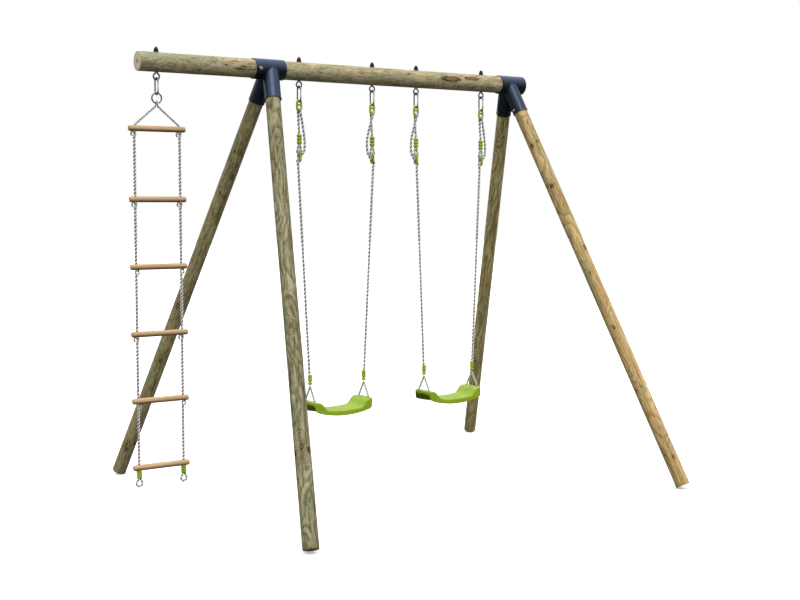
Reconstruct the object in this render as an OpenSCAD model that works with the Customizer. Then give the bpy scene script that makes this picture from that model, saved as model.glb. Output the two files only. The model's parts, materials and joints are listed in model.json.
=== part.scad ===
// Round-log swing set: two board swings and a rope ladder hang from one beam
// carried by two pairs of splayed legs.
// Units are millimetres. +X runs along the beam to the right, +Y to the rear,
// +Z up. The origin is on the ground at the centre of the overall footprint.

/* [Beam] */
// Beam diameter
beam_d = 100; // [80:5:140]
// Beam length
beam_length = 2470; // [2300:10:3200]
// Length of beam past the left leg pair
beam_overhang = 752; // [300:10:900]
// Distance between the two leg pairs, along the beam
pair_gap = 1615; // [1400:5:2000]

/* [Legs] */
// Leg diameter
leg_d = 80; // [60:5:120]
// Leg length
leg_length = 2500; // [1800:10:2800]
// Leg tilt from the vertical, degrees
leg_tilt = 26.7; // [15:0.1:35]
// Direction each foot points, off the fore-and-aft line, degrees:
// front left, rear left, front right, rear right
leg_headings = [20, 23, 20.5, 26.5]; // [0:0.5:30]
// Distance from the crossing of the leg axes down to each leg's top end
leg_top_gap = 95; // [90:1:130]
// Height of that crossing above the beam axis
apex_rise = 22; // [0:1:40]

/* [Brackets] */
// Wall of every steel sleeve
sleeve_wall = 4; // [2:0.5:8]
// Length of the sleeve round the beam
beam_sleeve_length = 178; // [120:1:260]
// How far that sleeve sits outboard of the leg pair
beam_sleeve_shift = 16; // [0:1:40]
// Distance from the crossing of the leg axes to the rim of a leg sleeve
leg_sleeve_reach = 213; // [160:1:300]
// Thickness of the web plate between the two leg sleeves
web_t = 6; // [3:0.5:10]

/* [Hanging points] */
// Distance of each inner swing eye from the middle of the four
hook_inner = 150; // [100:1:300]
// Distance from the middle of the bay to the middle of the four swing eyes
hook_shift = -11; // [-60:1:60]
// Distance between the two eyes of one swing
hook_pitch = 470; // [400:5:600]
// Distance of the ladder eye outside the left leg pair
ladder_out = 650; // [400:5:800]
// Outer diameter of an eye
eye_od = 41; // [30:1:60]
// Wire of an eye
eye_wire = 9; // [6:0.5:12]
// Depth of the lowest point of an eye under the beam axis
eye_depth = 92; // [80:1:120]
// Diameter of the eye's threaded shank
shank_d = 10; // [8:1:12]

/* [Carabiners] */
// Length over the outside
hook_length = 92; // [60:1:120]
// Wire diameter
hook_wire = 8; // [6:0.5:12]
// Bend radius at the wire's centre
hook_bend = 18; // [12:0.5:24]

/* [Swing ropes] */
// Rope diameter
rope_d = 10; // [8:0.5:16]
// Height of a plastic rope link
link_height = 66; // [60:1:90]
// Width of a plastic rope link
link_width = 38; // [30:1:50]
// Thickness of a plastic rope link
link_t = 10; // [6:0.5:14]
// Top of the upper ferrule, below the beam axis
end_ferrule_drop = 337; // [300:1:400]
// Top of the height adjuster, below the beam axis
adjuster_drop = 423; // [400:1:500]
// Top of the lower ferrule, below the beam axis
seat_ferrule_drop = 1655; // [1200:5:1800]
// Length of the lower ferrule
seat_ferrule_length = 57; // [40:1:80]
// Sideways bow of the slack strand beside the upper ferrule
rope_bow = 34; // [26:1:50]

/* [Seats] */
// Seat length along the beam
seat_length = 390; // [340:5:480]
// Seat depth, front to back
seat_depth = 168; // [140:2:220]
// Wall of the moulded shell
seat_wall = 4; // [2.5:0.5:8]
// Height of the raised ends above the lowest edge
seat_height = 83; // [60:1:110]
// Height of the middle of the pan above the lowest edge
pan_height = 29; // [20:1:50]
// Distance between the rope holes along the seat
hole_pitch_x = 350; // [300:5:440]
// Distance between the rope holes front to back
hole_pitch_y = 96; // [70:2:140]
// Underside of the lower ferrule above the raised ends
bridle_height = 91; // [60:1:140]

/* [Rope ladder] */
// Ladder rope diameter
ladder_rope_d = 12; // [8:0.5:16]
// Rung length
rung_length = 307; // [250:1:400]
// Rung diameter
rung_d = 30; // [24:1:40]
// Distance between rungs
rung_pitch = 342; // [250:1:400]
// Extra distance between the first two rungs
first_gap_extra = 14; // [0:1:40]
// Number of rungs
rung_count = 6; // [6:1:6]
// First rung below the beam axis
first_rung_drop = 335; // [300:5:500]
// Distance between the two ladder ropes
ladder_rope_pitch = 246; // [180:2:320]
// Outer diameter of the steel ring
ring_od = 60; // [40:1:80]

/* [Hidden] */
$fn = 48;
beam_r = beam_d / 2;
leg_r = leg_d / 2;
fit = 0.5;
rope_r = rope_d / 2;
ladder_rope_r = ladder_rope_d / 2;
knot_r = 12;

// Leg pose: each leg's axis runs down from the crossing. side is -1 for left and
// 1 for right, fore is -1 for front and 1 for rear.
leg_reach = leg_top_gap + leg_length;
function heading(side, fore) = leg_headings[side + 1 + (fore + 1) / 2];
function leg_dir_x(side, fore) = sin(leg_tilt) * sin(heading(side, fore));
function leg_dir_y(side, fore) = sin(leg_tilt) * cos(heading(side, fore));
foot_z = leg_r * sin(leg_tilt);
apex_z = foot_z + leg_reach * cos(leg_tilt);
beam_z = apex_z - apex_rise;

// Reach of a foot's rim along an axis whose direction cosine is c
function foot_rim(c) = leg_reach * c + leg_r * sqrt(1 - c * c);

// The footprint runs from the ladder's rung ends to the right-hand feet,
// and from the front feet to the rear feet
right_end = pair_gap / 2 + max([for (fore = [-1, 1]) foot_rim(leg_dir_x(1, fore))]);
left_end = pair_gap / 2 + ladder_out + rung_length / 2;
front_end = max([for (side = [-1, 1]) foot_rim(leg_dir_y(side, -1))]);
rear_end = max([for (side = [-1, 1]) foot_rim(leg_dir_y(side, 1))]);
mid_x = (left_end - right_end) / 2;
mid_y = (front_end - rear_end) / 2;

beam_left_x = mid_x - pair_gap / 2 - beam_overhang;
ladder_x = mid_x - pair_gap / 2 - ladder_out;
swing_offset = hook_inner + hook_pitch / 2;

// Sleeves and their screws
beam_sleeve_r = beam_r + fit + sleeve_wall;
leg_sleeve_r = leg_r + fit + sleeve_wall;
screw_d = 8;
screw_length = 44;
screw_fit = 0.2;
leg_screw_at = leg_sleeve_reach - 20;
beam_screw_inset = 22;
web_reach = leg_sleeve_reach - 30;

// Eye bolts: heights of each part, from the beam axis
eye_r = (eye_od - eye_wire) / 2;
eye_pivot = -eye_depth + eye_wire / 2;
eye_centre = eye_pivot + eye_r;
washer_t = 2;
nut_af = 17;
nut_height = 8;
cap_height = 25;
cap_d = 24;

// Carabiner heights, from the beam axis
hook_gap = 0.3;
hook_top_wire = eye_pivot + eye_wire / 2 + hook_gap + hook_wire / 2;
hook_centre = hook_top_wire + hook_wire / 2 - hook_length / 2;
hook_straight = hook_length / 2 - hook_wire / 2 - hook_bend;
hook_bottom_wire = hook_centre - hook_length / 2 + hook_wire / 2;
gate_pivot = -hook_straight + 5;
gate_pin_d = 3;
tongue_t = 3;

// Rope links: two holes, one above the other
link_bar = 8;
link_hole_top = 16;
link_hole_bottom = link_height - 3 * link_bar - link_hole_top;
link_drop = -(hook_bottom_wire + hook_wire / 2 + 1 + link_bar);
link_bight = -(link_drop + link_height - link_bar + 2);
bight_r = link_t / 2 + 1 + rope_r;
splice_bight_r = bight_r + 1;
end_ferrule_length = 52;
end_ferrule_d = 26;
splice_r = 9;
splice_rise = 10;
adjuster_bight = -(adjuster_drop + link_bar - 2);
adjuster_hole = -(adjuster_drop + 2 * link_bar + link_hole_top + link_hole_bottom / 2);

// Seat and bridle heights, from the beam axis
seat_ferrule_d = 24;
seat_pivot = -(seat_ferrule_drop + seat_ferrule_length + 1);
seat_top = -(seat_ferrule_drop + seat_ferrule_length + bridle_height);
seat_bottom = seat_top - seat_height;
pan_radius = 800;
keel_radius = 600;
lip_height = 18;
end_block = 50;
bridle_knot_r = 9;
rope_shift = (hook_pitch - hole_pitch_x) / 2;

// Ladder heights, from the beam axis
ring_wire = 8;
ring_r = (ring_od - ring_wire) / 2;
ring_centre = hook_bottom_wire + hook_wire / 2 + hook_gap + ring_wire / 2 - ring_r;
ring_bight = ring_centre - ring_r;
ring_bight_r = ring_wire / 2 + fit + ladder_rope_r;
knot_drop = rung_d / 2 + knot_r + 0.3;
ladder_ferrule_length = 38;
ladder_ferrule_d = 28;
loop_r = 14;

pine = "#a3976c";
warm_pine = "#c0a670";
powder_coat = "#22283a";
zinc = "#b9bcc0";
green = "#9dbb2a";
rope_white = "#d6d2cc";
rung_wood = "#d2ab78";

// ---- placing helpers

// Position of a leg pair along the beam
function pair_x(side) = mid_x + side * pair_gap / 2;

// Middle of one swing, and one of its eyes (end is -1 or 1)
function swing_x(side) = mid_x + hook_shift + side * swing_offset;
function eye_x(side, end) = swing_x(side) + end * hook_pitch / 2;

function rung_drop(i) = first_rung_drop + (i - 1) * rung_pitch + (i > 1 ? first_gap_extra : 0);

EYE_XS = [ladder_x, eye_x(-1, -1), eye_x(-1, 1), eye_x(1, -1), eye_x(1, 1)];

// Local frame of one leg: -Z runs down the leg's axis from the crossing
module at_leg(side, fore) {
  translate([pair_x(side), mid_y, apex_z])
    rotate([0, 0, atan2(fore * cos(heading(side, fore)), side * sin(heading(side, fore)))])
      rotate([0, -leg_tilt, 0])
        children();
}

// Radial axis of a leg's retaining screw, on the side that faces the swings
module at_leg_screw(side, fore) {
  turn = heading(side, fore);
  at_leg(side, fore)
    translate([0, 0, -leg_screw_at])
      rotate([0, 0, atan2(side * fore * cos(turn), -sin(turn) * cos(leg_tilt))])
        rotate([0, 90, 0])
          children();
}

// Radial axis of a beam sleeve's retaining screw, at the sleeve's outboard end:
// the right bracket is the left one turned round, so its screw is at the rear
module at_beam_screw(side) {
  inset = beam_sleeve_shift + beam_sleeve_length / 2 - beam_screw_inset;
  translate([pair_x(side) + side * inset, mid_y, beam_z])
    rotate([-side * 90, 0, 0])
      children();
}

// Beam-axis height at one hanging point
module at_eye(x) {
  translate([x, mid_y, beam_z])
    children();
}

// A straight cylinder from point a to point b
module strand(a, b, d) {
  v = b - a;
  translate(a)
    rotate([0, acos(v.z / norm(v)), atan2(v.y, v.x)])
      cylinder(h = norm(v), d = d);
}

// A rope laid through a list of points, with a full round at each bend
module rope_run(points, d) {
  for (i = [0 : len(points) - 2])
    strand(points[i], points[i + 1], d);
  for (i = [1 : len(points) - 2])
    translate(points[i])
      sphere(d = d + 0.4);
}

// A half ring of round stock, open side down, in the XY plane
module half_ring(r, d) {
  rotate_extrude(angle = 180)
    translate([r, 0])
      circle(d = d);
}

// A half ring of rope with a full round at each end
module bight(r, d) {
  half_ring(r, d);
  for (end = [-1, 1])
    translate([end * r, 0, 0])
      sphere(d = d + 0.4);
}

// Turns the XY plane into the YZ plane
module into_yz() {
  rotate([90, 0, 90])
    children();
}

// Turns the XY plane into the XZ plane
module into_xz() {
  rotate([90, 0, 0])
    children();
}

// A tube-like body of revolution with three raised ribs
module ribbed_ferrule(length, d, bore) {
  r = d / 2;
  band = length / 7;
  difference() {
    rotate_extrude()
      polygon([
        [0, 0], [r - 1.5, 0], [r, 1.5], [r, 2 * band - 1],
        [r - 2, 2 * band], [r - 2, 2.5 * band], [r, 2.5 * band + 1],
        [r, 4.5 * band - 1], [r - 2, 4.5 * band], [r - 2, 5 * band],
        [r, 5 * band + 1], [r, length - 1.5], [r - 1.5, length], [0, length]
      ]);
    translate([0, 0, -1])
      cylinder(h = length + 2, d = bore);
  }
}

// ---- frame

module beam() {
  color(pine)
    difference() {
      translate([beam_left_x, mid_y, beam_z])
        rotate([0, 90, 0])
          cylinder(h = beam_length, r = beam_r);
      for (x = EYE_XS)
        at_eye(x)
          translate([0, 0, -beam_r - 1])
            cylinder(h = beam_d + 2, d = shank_d + 1);
      for (side = [-1, 1])
        at_beam_screw(side)
          screw_pilot(beam_r);
    }
}

module leg(side, fore) {
  color(fore * side < 0 ? warm_pine : pine)
    difference() {
      at_leg(side, fore)
        translate([0, 0, -leg_reach])
          cylinder(h = leg_length, r = leg_r);
      at_leg_screw(side, fore)
        screw_pilot(leg_r);
    }
}

// Blind hole for a screw that bears on a sleeve over stock of radius r
module screw_pilot(r) {
  translate([0, 0, r + fit + sleeve_wall - screw_length - 2])
    cylinder(h = screw_length + 20, d = screw_d + 2 * screw_fit);
}

// Two coped leg sleeves and their web, under a sleeve for the beam
module bracket(side) {
  sleeve_x = pair_x(side) + side * beam_sleeve_shift - beam_sleeve_length / 2;
  color(powder_coat)
    difference() {
      union() {
        difference() {
          union() {
            for (fore = [-1, 1])
              at_leg(side, fore)
                translate([0, 0, -leg_sleeve_reach])
                  cylinder(h = leg_sleeve_reach - 10, r = leg_sleeve_r);
            bracket_web(side);
          }
          for (fore = [-1, 1])
            at_leg(side, fore)
              translate([0, 0, -leg_sleeve_reach - 1])
                cylinder(h = leg_sleeve_reach - 20, r = leg_r + fit);
        }
        translate([sleeve_x, mid_y, beam_z])
          rotate([0, 90, 0])
            cylinder(h = beam_sleeve_length, r = beam_sleeve_r);
      }
      translate([sleeve_x - 1, mid_y, beam_z])
        rotate([0, 90, 0])
          cylinder(h = beam_sleeve_length + 2, r = beam_r + fit);
      for (fore = [-1, 1])
        at_leg_screw(side, fore)
          cylinder(h = leg_sleeve_r + 1, d = screw_d + 1);
      at_beam_screw(side)
        cylinder(h = beam_sleeve_r + 1, d = screw_d + 1);
    }
}

// Flat plate between the two leg axes
module bracket_web(side) {
  slope = atan2(leg_dir_x(side, -1) + leg_dir_x(side, 1), 2 * cos(leg_tilt));
  front = web_reach * tan(asin(leg_dir_y(side, -1)));
  rear = web_reach * tan(asin(leg_dir_y(side, 1)));
  translate([pair_x(side), mid_y, apex_z])
    rotate([0, -side * slope, 0])
      rotate([90, 0, 90])
        translate([0, 0, -web_t / 2])
          linear_extrude(web_t)
            polygon([[-12, -60], [12, -60], [rear, -web_reach], [-front, -web_reach]]);
}

// Hex-headed screw with a flange; local +Z points out of the sleeve
module sleeve_screw(r) {
  seat = r + fit + sleeve_wall;
  color(zinc) {
    translate([0, 0, seat - screw_length])
      cylinder(h = screw_length + 1, d = screw_d);
    translate([0, 0, seat])
      cylinder(h = 2, d = 19);
    translate([0, 0, seat + 1])
      cylinder(h = 7, d = 15, $fn = 6);
  }
}

module leg_screws() {
  for (side = [-1, 1], fore = [-1, 1])
    at_leg_screw(side, fore)
      sleeve_screw(leg_r);
}

module beam_screws() {
  for (side = [-1, 1])
    at_beam_screw(side)
      sleeve_screw(beam_r);
}

// ---- hanging points

module eye_bolts() {
  color(zinc)
    for (x = EYE_XS)
      at_eye(x) {
        translate([0, 0, eye_centre])
          into_xz()
            rotate_extrude()
              translate([eye_r, 0])
                circle(d = eye_wire);
        translate([0, 0, eye_centre + eye_r])
          cylinder(h = beam_r + 16 - eye_centre - eye_r, d = shank_d);
      }
}

module bolt_washers() {
  color(zinc)
    for (x = EYE_XS)
      at_eye(x)
        translate([0, 0, beam_r])
          difference() {
            cylinder(h = washer_t, d = 28);
            translate([0, 0, -1])
              cylinder(h = washer_t + 2, d = shank_d + 0.6);
          }
}

module bolt_nuts() {
  color(zinc)
    for (x = EYE_XS)
      at_eye(x)
        translate([0, 0, beam_r + washer_t])
          difference() {
            cylinder(h = nut_height, d = nut_af / cos(30), $fn = 6);
            translate([0, 0, -1])
              cylinder(h = nut_height + 2, d = shank_d + 0.2);
          }
}

// Weather cap pressed over each nut
module nut_caps() {
  r = cap_d / 2;
  color("#151515")
    for (x = EYE_XS)
      at_eye(x)
        translate([0, 0, beam_r + washer_t])
          difference() {
            rotate_extrude()
              polygon([
                [0, 0], [r + 1.5, 0], [r + 1.5, 2], [r, 3], [r, 10],
                [r - 2, 16], [r - 5, 21], [r - 9, cap_height], [0, cap_height]
              ]);
            translate([0, 0, -1])
              cylinder(h = nut_height + 7.5, d = nut_af / cos(30) + 0.4);
          }
}

// ---- carabiners

// Open wire frame of a carabiner; the gate side faces the front
module carabiner_frame() {
  translate([0, 0, hook_centre]) {
    translate([0, 0, hook_straight])
      into_yz()
        half_ring(hook_bend, hook_wire);
    translate([0, 0, -hook_straight])
      rotate([180, 0, 0])
        into_yz()
          half_ring(hook_bend, hook_wire);
    translate([0, hook_bend, -hook_straight])
      cylinder(h = 2 * hook_straight, d = hook_wire);
    translate([0, -hook_bend, hook_straight - 4])
      cylinder(h = 4, d = hook_wire);
    translate([0, -hook_bend, -hook_straight])
      gate_tongue();
  }
}

// Flattened end of the wire that the gate's fork straddles
module gate_tongue() {
  difference() {
    translate([-tongue_t / 2, -3, 0])
      cube([tongue_t, 6, 8]);
    translate([-hook_wire, 0, gate_pivot + hook_straight])
      rotate([0, 90, 0])
        cylinder(h = 2 * hook_wire, d = gate_pin_d + 0.2);
  }
}

module gate_pin() {
  translate([-hook_wire / 2 - 0.6, -hook_bend, hook_centre + gate_pivot])
    rotate([0, 90, 0])
      cylinder(h = hook_wire + 1.2, d = gate_pin_d);
}

// Sprung gate: a rod forked over the tongue at its lower end
module gate_rod() {
  bottom = gate_pivot - 2.4;
  color(zinc)
    translate([0, -hook_bend, hook_centre])
      difference() {
        translate([0, 0, bottom])
          cylinder(h = hook_straight - 4.6 - bottom, d = hook_wire);
        translate([-tongue_t / 2 - 0.2, -hook_wire, bottom - 1])
          cube([tongue_t + 0.4, 2 * hook_wire, 12.5]);
        translate([-hook_wire, 0, gate_pivot])
          rotate([0, 90, 0])
            cylinder(h = 2 * hook_wire, d = gate_pin_d + 0.2);
      }
}

// ---- swing ropes

// Plastic link with a small upper hole and a tall lower hole, top at Z = 0
module rope_link() {
  color(green)
    rotate([90, 0, 0])
      translate([0, 0, -link_t / 2])
        linear_extrude(link_t)
          difference() {
            upright_slot(link_width, link_height, 0);
            translate([-10, -link_bar - link_hole_top])
              square([20, link_hole_top]);
            upright_slot(18, link_hole_bottom, 2 * link_bar + link_hole_top);
          }
}

// Rounded upright slot, its top edge at -drop
module upright_slot(width, height, drop) {
  r = width / 2;
  translate([0, -drop - r])
    circle(r);
  translate([0, -drop - height + r])
    circle(r);
  translate([-r, -drop - height + r])
    square([width, height - width]);
}

// One swing rope: doubled over the link, its short end spliced round the adjuster,
// its long end wound through the adjuster and down to the lower ferrule.
// bow is the side the slack strand takes, inward the side the seat lies on.
module swing_rope(bow, inward) {
  ferrule_bottom = -end_ferrule_drop - end_ferrule_length;
  color(rope_white) {
    translate([0, 0, link_bight])
      into_yz()
        bight(bight_r, rope_d);
    rope_run([
      [0, bight_r, link_bight],
      [0, 0, -end_ferrule_drop + 8],
      [0, 0, ferrule_bottom + splice_rise]
    ], rope_d);
    rope_run([
      [0, -bight_r, link_bight],
      [bow * (rope_bow - 6), -2, -end_ferrule_drop + 4],
      [bow * rope_bow, 0, ferrule_bottom + 10],
      [bow * (rope_bow - 3), 0, -adjuster_drop - 2],
      [bow * 22, 0, adjuster_hole + 29],
      [bow * 12.5, 0, adjuster_hole + 12.5],
      [-bow * 12.5, 0, adjuster_hole - 12.5],
      [-bow * 11, 0, adjuster_hole - 30],
      [inward * (rope_shift + 1.4), 0, -seat_ferrule_drop - seat_ferrule_length]
    ], rope_d);
    splice_loop(ferrule_bottom);
  }
}

// Rope eye from the upper ferrule round the adjuster's top bar
module splice_loop(top) {
  translate([0, 0, adjuster_bight])
    rotate([180, 0, 0])
      into_xz()
        bight(splice_bight_r, rope_d);
  for (end = [-1, 1])
    strand([end * splice_bight_r, 0, adjuster_bight], [0, 0, top + splice_rise], rope_d);
  translate([0, 0, top + splice_rise])
    sphere(splice_r);
}

module end_ferrule() {
  color(green)
    translate([0, 0, -end_ferrule_drop - end_ferrule_length])
      difference() {
        ribbed_ferrule(end_ferrule_length, end_ferrule_d, rope_d + 1);
        translate([0, 0, -1])
          cylinder(h = splice_rise + splice_r + 2, d = 2 * rope_d + 1);
      }
}

// Ferrule that turns the single rope into the seat bridle, with a collar below
module seat_ferrule() {
  r = seat_ferrule_d / 2;
  color(green)
    translate([0, 0, -seat_ferrule_drop - seat_ferrule_length])
      difference() {
        rotate_extrude()
          polygon([
            [0, 0], [r - 4, 0], [r - 0.5, 4], [r + 0.5, 9], [r - 0.5, 14],
            [r - 4, 17], [r - 1, 20], [r, 23], [r, 38], [r - 1.5, 40], [r, 42],
            [r, seat_ferrule_length - 3], [r - 3, seat_ferrule_length],
            [0, seat_ferrule_length]
          ]);
        translate([0, 0, -1])
          cylinder(h = seat_ferrule_length + 2, d = rope_d + 2 * screw_fit + 5.2);
      }
}

// ---- swing assemblies: end is -1 or 1, for the left or right rope

module swing_carabiners(side) {
  color(zinc)
    for (end = [-1, 1])
      at_eye(eye_x(side, end))
        carabiner_frame();
}

module swing_gate_pins(side) {
  color(zinc)
    for (end = [-1, 1])
      at_eye(eye_x(side, end))
        gate_pin();
}

module swing_gate(side, end) {
  at_eye(eye_x(side, end))
    gate_rod();
}

module swing_links(side) {
  for (end = [-1, 1])
    at_eye(eye_x(side, end))
      translate([0, 0, -link_drop])
        rope_link();
}

module swing_rope_at(side, end, bow) {
  at_eye(eye_x(side, end))
    swing_rope(bow, -end);
}

module swing_end_ferrules(side) {
  for (end = [-1, 1])
    at_eye(eye_x(side, end))
      end_ferrule();
}

module swing_adjusters(side) {
  for (end = [-1, 1])
    at_eye(eye_x(side, end))
      translate([0, 0, -adjuster_drop])
        rotate([0, 0, 90])
          rope_link();
}

module swing_seat_ferrules(side) {
  for (end = [-1, 1])
    at_eye(swing_x(side) + end * hole_pitch_x / 2)
      seat_ferrule();
}

// ---- seat

// Rise of an arc of radius r at a distance x from its middle
function arc_rise(r, x) = r - sqrt(r * r - x * x);

// Reflects a right-hand outline, listed from the middle outwards, about X = 0
function both_sides(half) = concat(
  [for (i = [len(half) - 1 : -1 : 1]) [-half[i].x, half[i].y]],
  half
);

// Right half of the seat's top line; wall insets it for the inside of the shell
function seat_top_line(wall) =
  let (
    block = seat_length / 2 - end_block,
    end = seat_length / 2 - wall,
    pan = pan_height - wall,
    top = seat_height - wall
  )
  concat(
    [for (x = [0 : 10 : block - 40]) [x, pan + arc_rise(pan_radius, x)]],
    [
      [block - 26, pan + 13], [block - 6, top - 12], [block + 4, top - 5],
      [block + 18, top - 2], [end - 4, top], [end, top - 4]
    ]
  );

// Right half of the keel line: a long arc that curls up at each end, then steps to the lip
function seat_keel_line() =
  let (half = seat_length / 2)
  concat(
    [for (x = [0 : 10 : half - 35]) [x, arc_rise(keel_radius, x)]],
    [
      [half - 18, 29], [half - 10, 35], [half - 5, 42],
      [half - 5, seat_height - lip_height], [half, seat_height - lip_height]
    ]
  );

module seat_outline() {
  keel = both_sides(seat_keel_line());
  polygon(concat(
    both_sides(seat_top_line(0)),
    [for (i = [len(keel) - 1 : -1 : 0]) keel[i]]
  ));
}

module seat_hollow() {
  half = seat_length / 2 - seat_wall;
  polygon(concat(both_sides(seat_top_line(seat_wall)), [[half, -20], [-half, -20]]));
}

// Plan outline: a board with rounded corners
module seat_plan(wall) {
  r = 34 - wall;
  x = seat_length / 2 - 34;
  y = seat_depth / 2 - 34;
  for (i = [-1, 1], j = [-1, 1])
    translate([i * x, j * y])
      circle(r);
  square([2 * x, 2 * (y + r)], center = true);
  square([2 * (x + r), 2 * y], center = true);
}

// Moulded shell, open underneath and under the lip at each end
module seat_shell(side) {
  color(green)
    at_eye(swing_x(side))
      translate([0, 0, seat_bottom])
        difference() {
          intersection() {
            seat_prism(seat_depth)
              seat_outline();
            translate([0, 0, -1])
              linear_extrude(seat_height + 2)
                seat_plan(0);
          }
          intersection() {
            seat_prism(seat_depth)
              seat_hollow();
            translate([0, 0, -30])
              linear_extrude(seat_height + 40)
                seat_plan(seat_wall);
          }
          for (i = [-1, 1], j = [-1, 1])
            translate([i * hole_pitch_x / 2, j * hole_pitch_y / 2, 0])
              cylinder(h = seat_height + 10, d = rope_d + 3);
        }
}

// Extrudes a side outline across the seat's depth
module seat_prism(depth) {
  translate([0, depth / 2 + 1, 0])
    rotate([90, 0, 0])
      linear_extrude(depth + 2)
        children();
}

// Rope from hole to hole over the pivot, with a stop knot under each hole
module seat_bridles(side) {
  apex = seat_pivot - 7;
  half = hole_pitch_y / 2;
  color(rope_white)
    for (end = [-1, 1])
      at_eye(swing_x(side) + end * hole_pitch_x / 2) {
        rope_run([
          [0, -half, seat_top - 15],
          [0, -half, seat_top + 5],
          [0, -5, apex - 3],
          [0, 5, apex - 3],
          [0, half, seat_top + 5],
          [0, half, seat_top - 15]
        ], rope_d);
        for (j = [-1, 1])
          translate([0, j * half, seat_top - seat_wall - 6 - bridle_knot_r])
            sphere(bridle_knot_r);
      }
}

// ---- rope ladder

module ladder_carabiner() {
  color(zinc)
    at_eye(ladder_x)
      carabiner_frame();
}

module ladder_gate_pin() {
  color(zinc)
    at_eye(ladder_x)
      gate_pin();
}

module ladder_gate() {
  at_eye(ladder_x)
    gate_rod();
}

module ladder_ring() {
  color(zinc)
    at_eye(ladder_x)
      translate([0, 0, ring_centre])
        into_xz()
          rotate_extrude()
            translate([ring_r, 0])
              circle(d = ring_wire);
}

// Rope doubled over the ring, down through the first rung's two holes
module ladder_top_rope() {
  color(rope_white)
    at_eye(ladder_x) {
      translate([0, 0, ring_bight])
        into_yz()
          bight(ring_bight_r, ladder_rope_d);
      for (end = [-1, 1]) {
        rope_run([
          [0, end * ring_bight_r, ring_bight],
          [end * 14, end * 7, ring_bight - 20],
          [end * ladder_rope_pitch / 2, 0, -first_rung_drop + rung_d / 2 + 6],
          [end * ladder_rope_pitch / 2, 0, -first_rung_drop - knot_drop]
        ], ladder_rope_d);
        translate([end * ladder_rope_pitch / 2, 0, -first_rung_drop - knot_drop])
          sphere(knot_r);
      }
    }
}

// Turned rung with eased ends and a hole for each rope
module ladder_rung(i) {
  r = rung_d / 2;
  half = rung_length / 2;
  color(rung_wood)
    at_eye(ladder_x)
      translate([0, 0, -rung_drop(i)])
        difference() {
          rotate([0, 90, 0])
            rotate_extrude()
              polygon([
                [0, -half], [r - 6, -half], [r - 2, -half + 2], [r, -half + 7],
                [r, half - 7], [r - 2, half - 2], [r - 6, half], [0, half]
              ]);
          for (end = [-1, 1])
            translate([end * ladder_rope_pitch / 2, 0, -r - 1])
              cylinder(h = rung_d + 2, d = ladder_rope_d + 2 * fit);
        }
}

// The two ropes above one rung, each with its stop knot under the rung
module ladder_ropes(i) {
  top = -rung_drop(i - 1) - knot_drop - knot_r - 0.8;
  bottom = -rung_drop(i) - knot_drop;
  color(rope_white)
    at_eye(ladder_x)
      for (end = [-1, 1])
        translate([end * ladder_rope_pitch / 2, 0, bottom]) {
          cylinder(h = top - bottom, d = ladder_rope_d);
          sphere(knot_r);
        }
}

// The last two ropes: no knots, each spliced into a loop below its ferrule
module ladder_last_ropes() {
  top = -rung_drop(rung_count - 1) - knot_drop - knot_r - 0.8;
  loop_z = -rung_drop(rung_count) - rung_d / 2 - 1 - ladder_ferrule_length - loop_r - 8;
  color(rope_white)
    at_eye(ladder_x)
      for (end = [-1, 1])
        translate([end * ladder_rope_pitch / 2, 0, loop_z]) {
          translate([0, 0, loop_r])
            cylinder(h = top - loop_z - loop_r, d = ladder_rope_d);
          into_xz()
            rotate_extrude()
              translate([loop_r, 0])
                circle(d = ladder_rope_d - 1);
        }
}

module ladder_end_ferrules() {
  color(green)
    at_eye(ladder_x)
      for (end = [-1, 1])
        translate([
          end * ladder_rope_pitch / 2, 0,
          -rung_drop(rung_count) - rung_d / 2 - 1 - ladder_ferrule_length
        ])
          ribbed_ferrule(ladder_ferrule_length, ladder_ferrule_d, ladder_rope_d + 2 * fit);
}

// ---- selection

beam();
leg(-1, -1);  // leg_front_left
leg(-1, 1);  // leg_rear_left
leg(1, -1);  // leg_front_right
leg(1, 1);  // leg_rear_right
bracket(-1);  // bracket_left
bracket(1);  // bracket_right
leg_screws();
beam_screws();
eye_bolts();
bolt_washers();
bolt_nuts();
nut_caps();

swing_carabiners(-1);  // left_swing_carabiners
swing_gate_pins(-1);  // left_swing_gate_pins
swing_gate(-1, -1);  // left_swing_gate_left
swing_gate(-1, 1);  // left_swing_gate_right
swing_links(-1);  // left_swing_links
swing_rope_at(-1, -1, 1);  // left_swing_rope_left
swing_rope_at(-1, 1, -1);  // left_swing_rope_right
swing_end_ferrules(-1);  // left_swing_end_ferrules
swing_adjusters(-1);  // left_swing_adjusters
swing_seat_ferrules(-1);  // left_swing_seat_ferrules
seat_shell(-1);  // left_seat
seat_bridles(-1);  // left_seat_bridles

swing_carabiners(1);  // right_swing_carabiners
swing_gate_pins(1);  // right_swing_gate_pins
swing_gate(1, -1);  // right_swing_gate_left
swing_gate(1, 1);  // right_swing_gate_right
swing_links(1);  // right_swing_links
swing_rope_at(1, -1, -1);  // right_swing_rope_left
swing_rope_at(1, 1, 1);  // right_swing_rope_right
swing_end_ferrules(1);  // right_swing_end_ferrules
swing_adjusters(1);  // right_swing_adjusters
swing_seat_ferrules(1);  // right_swing_seat_ferrules
seat_shell(1);  // right_seat
seat_bridles(1);  // right_seat_bridles

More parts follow.
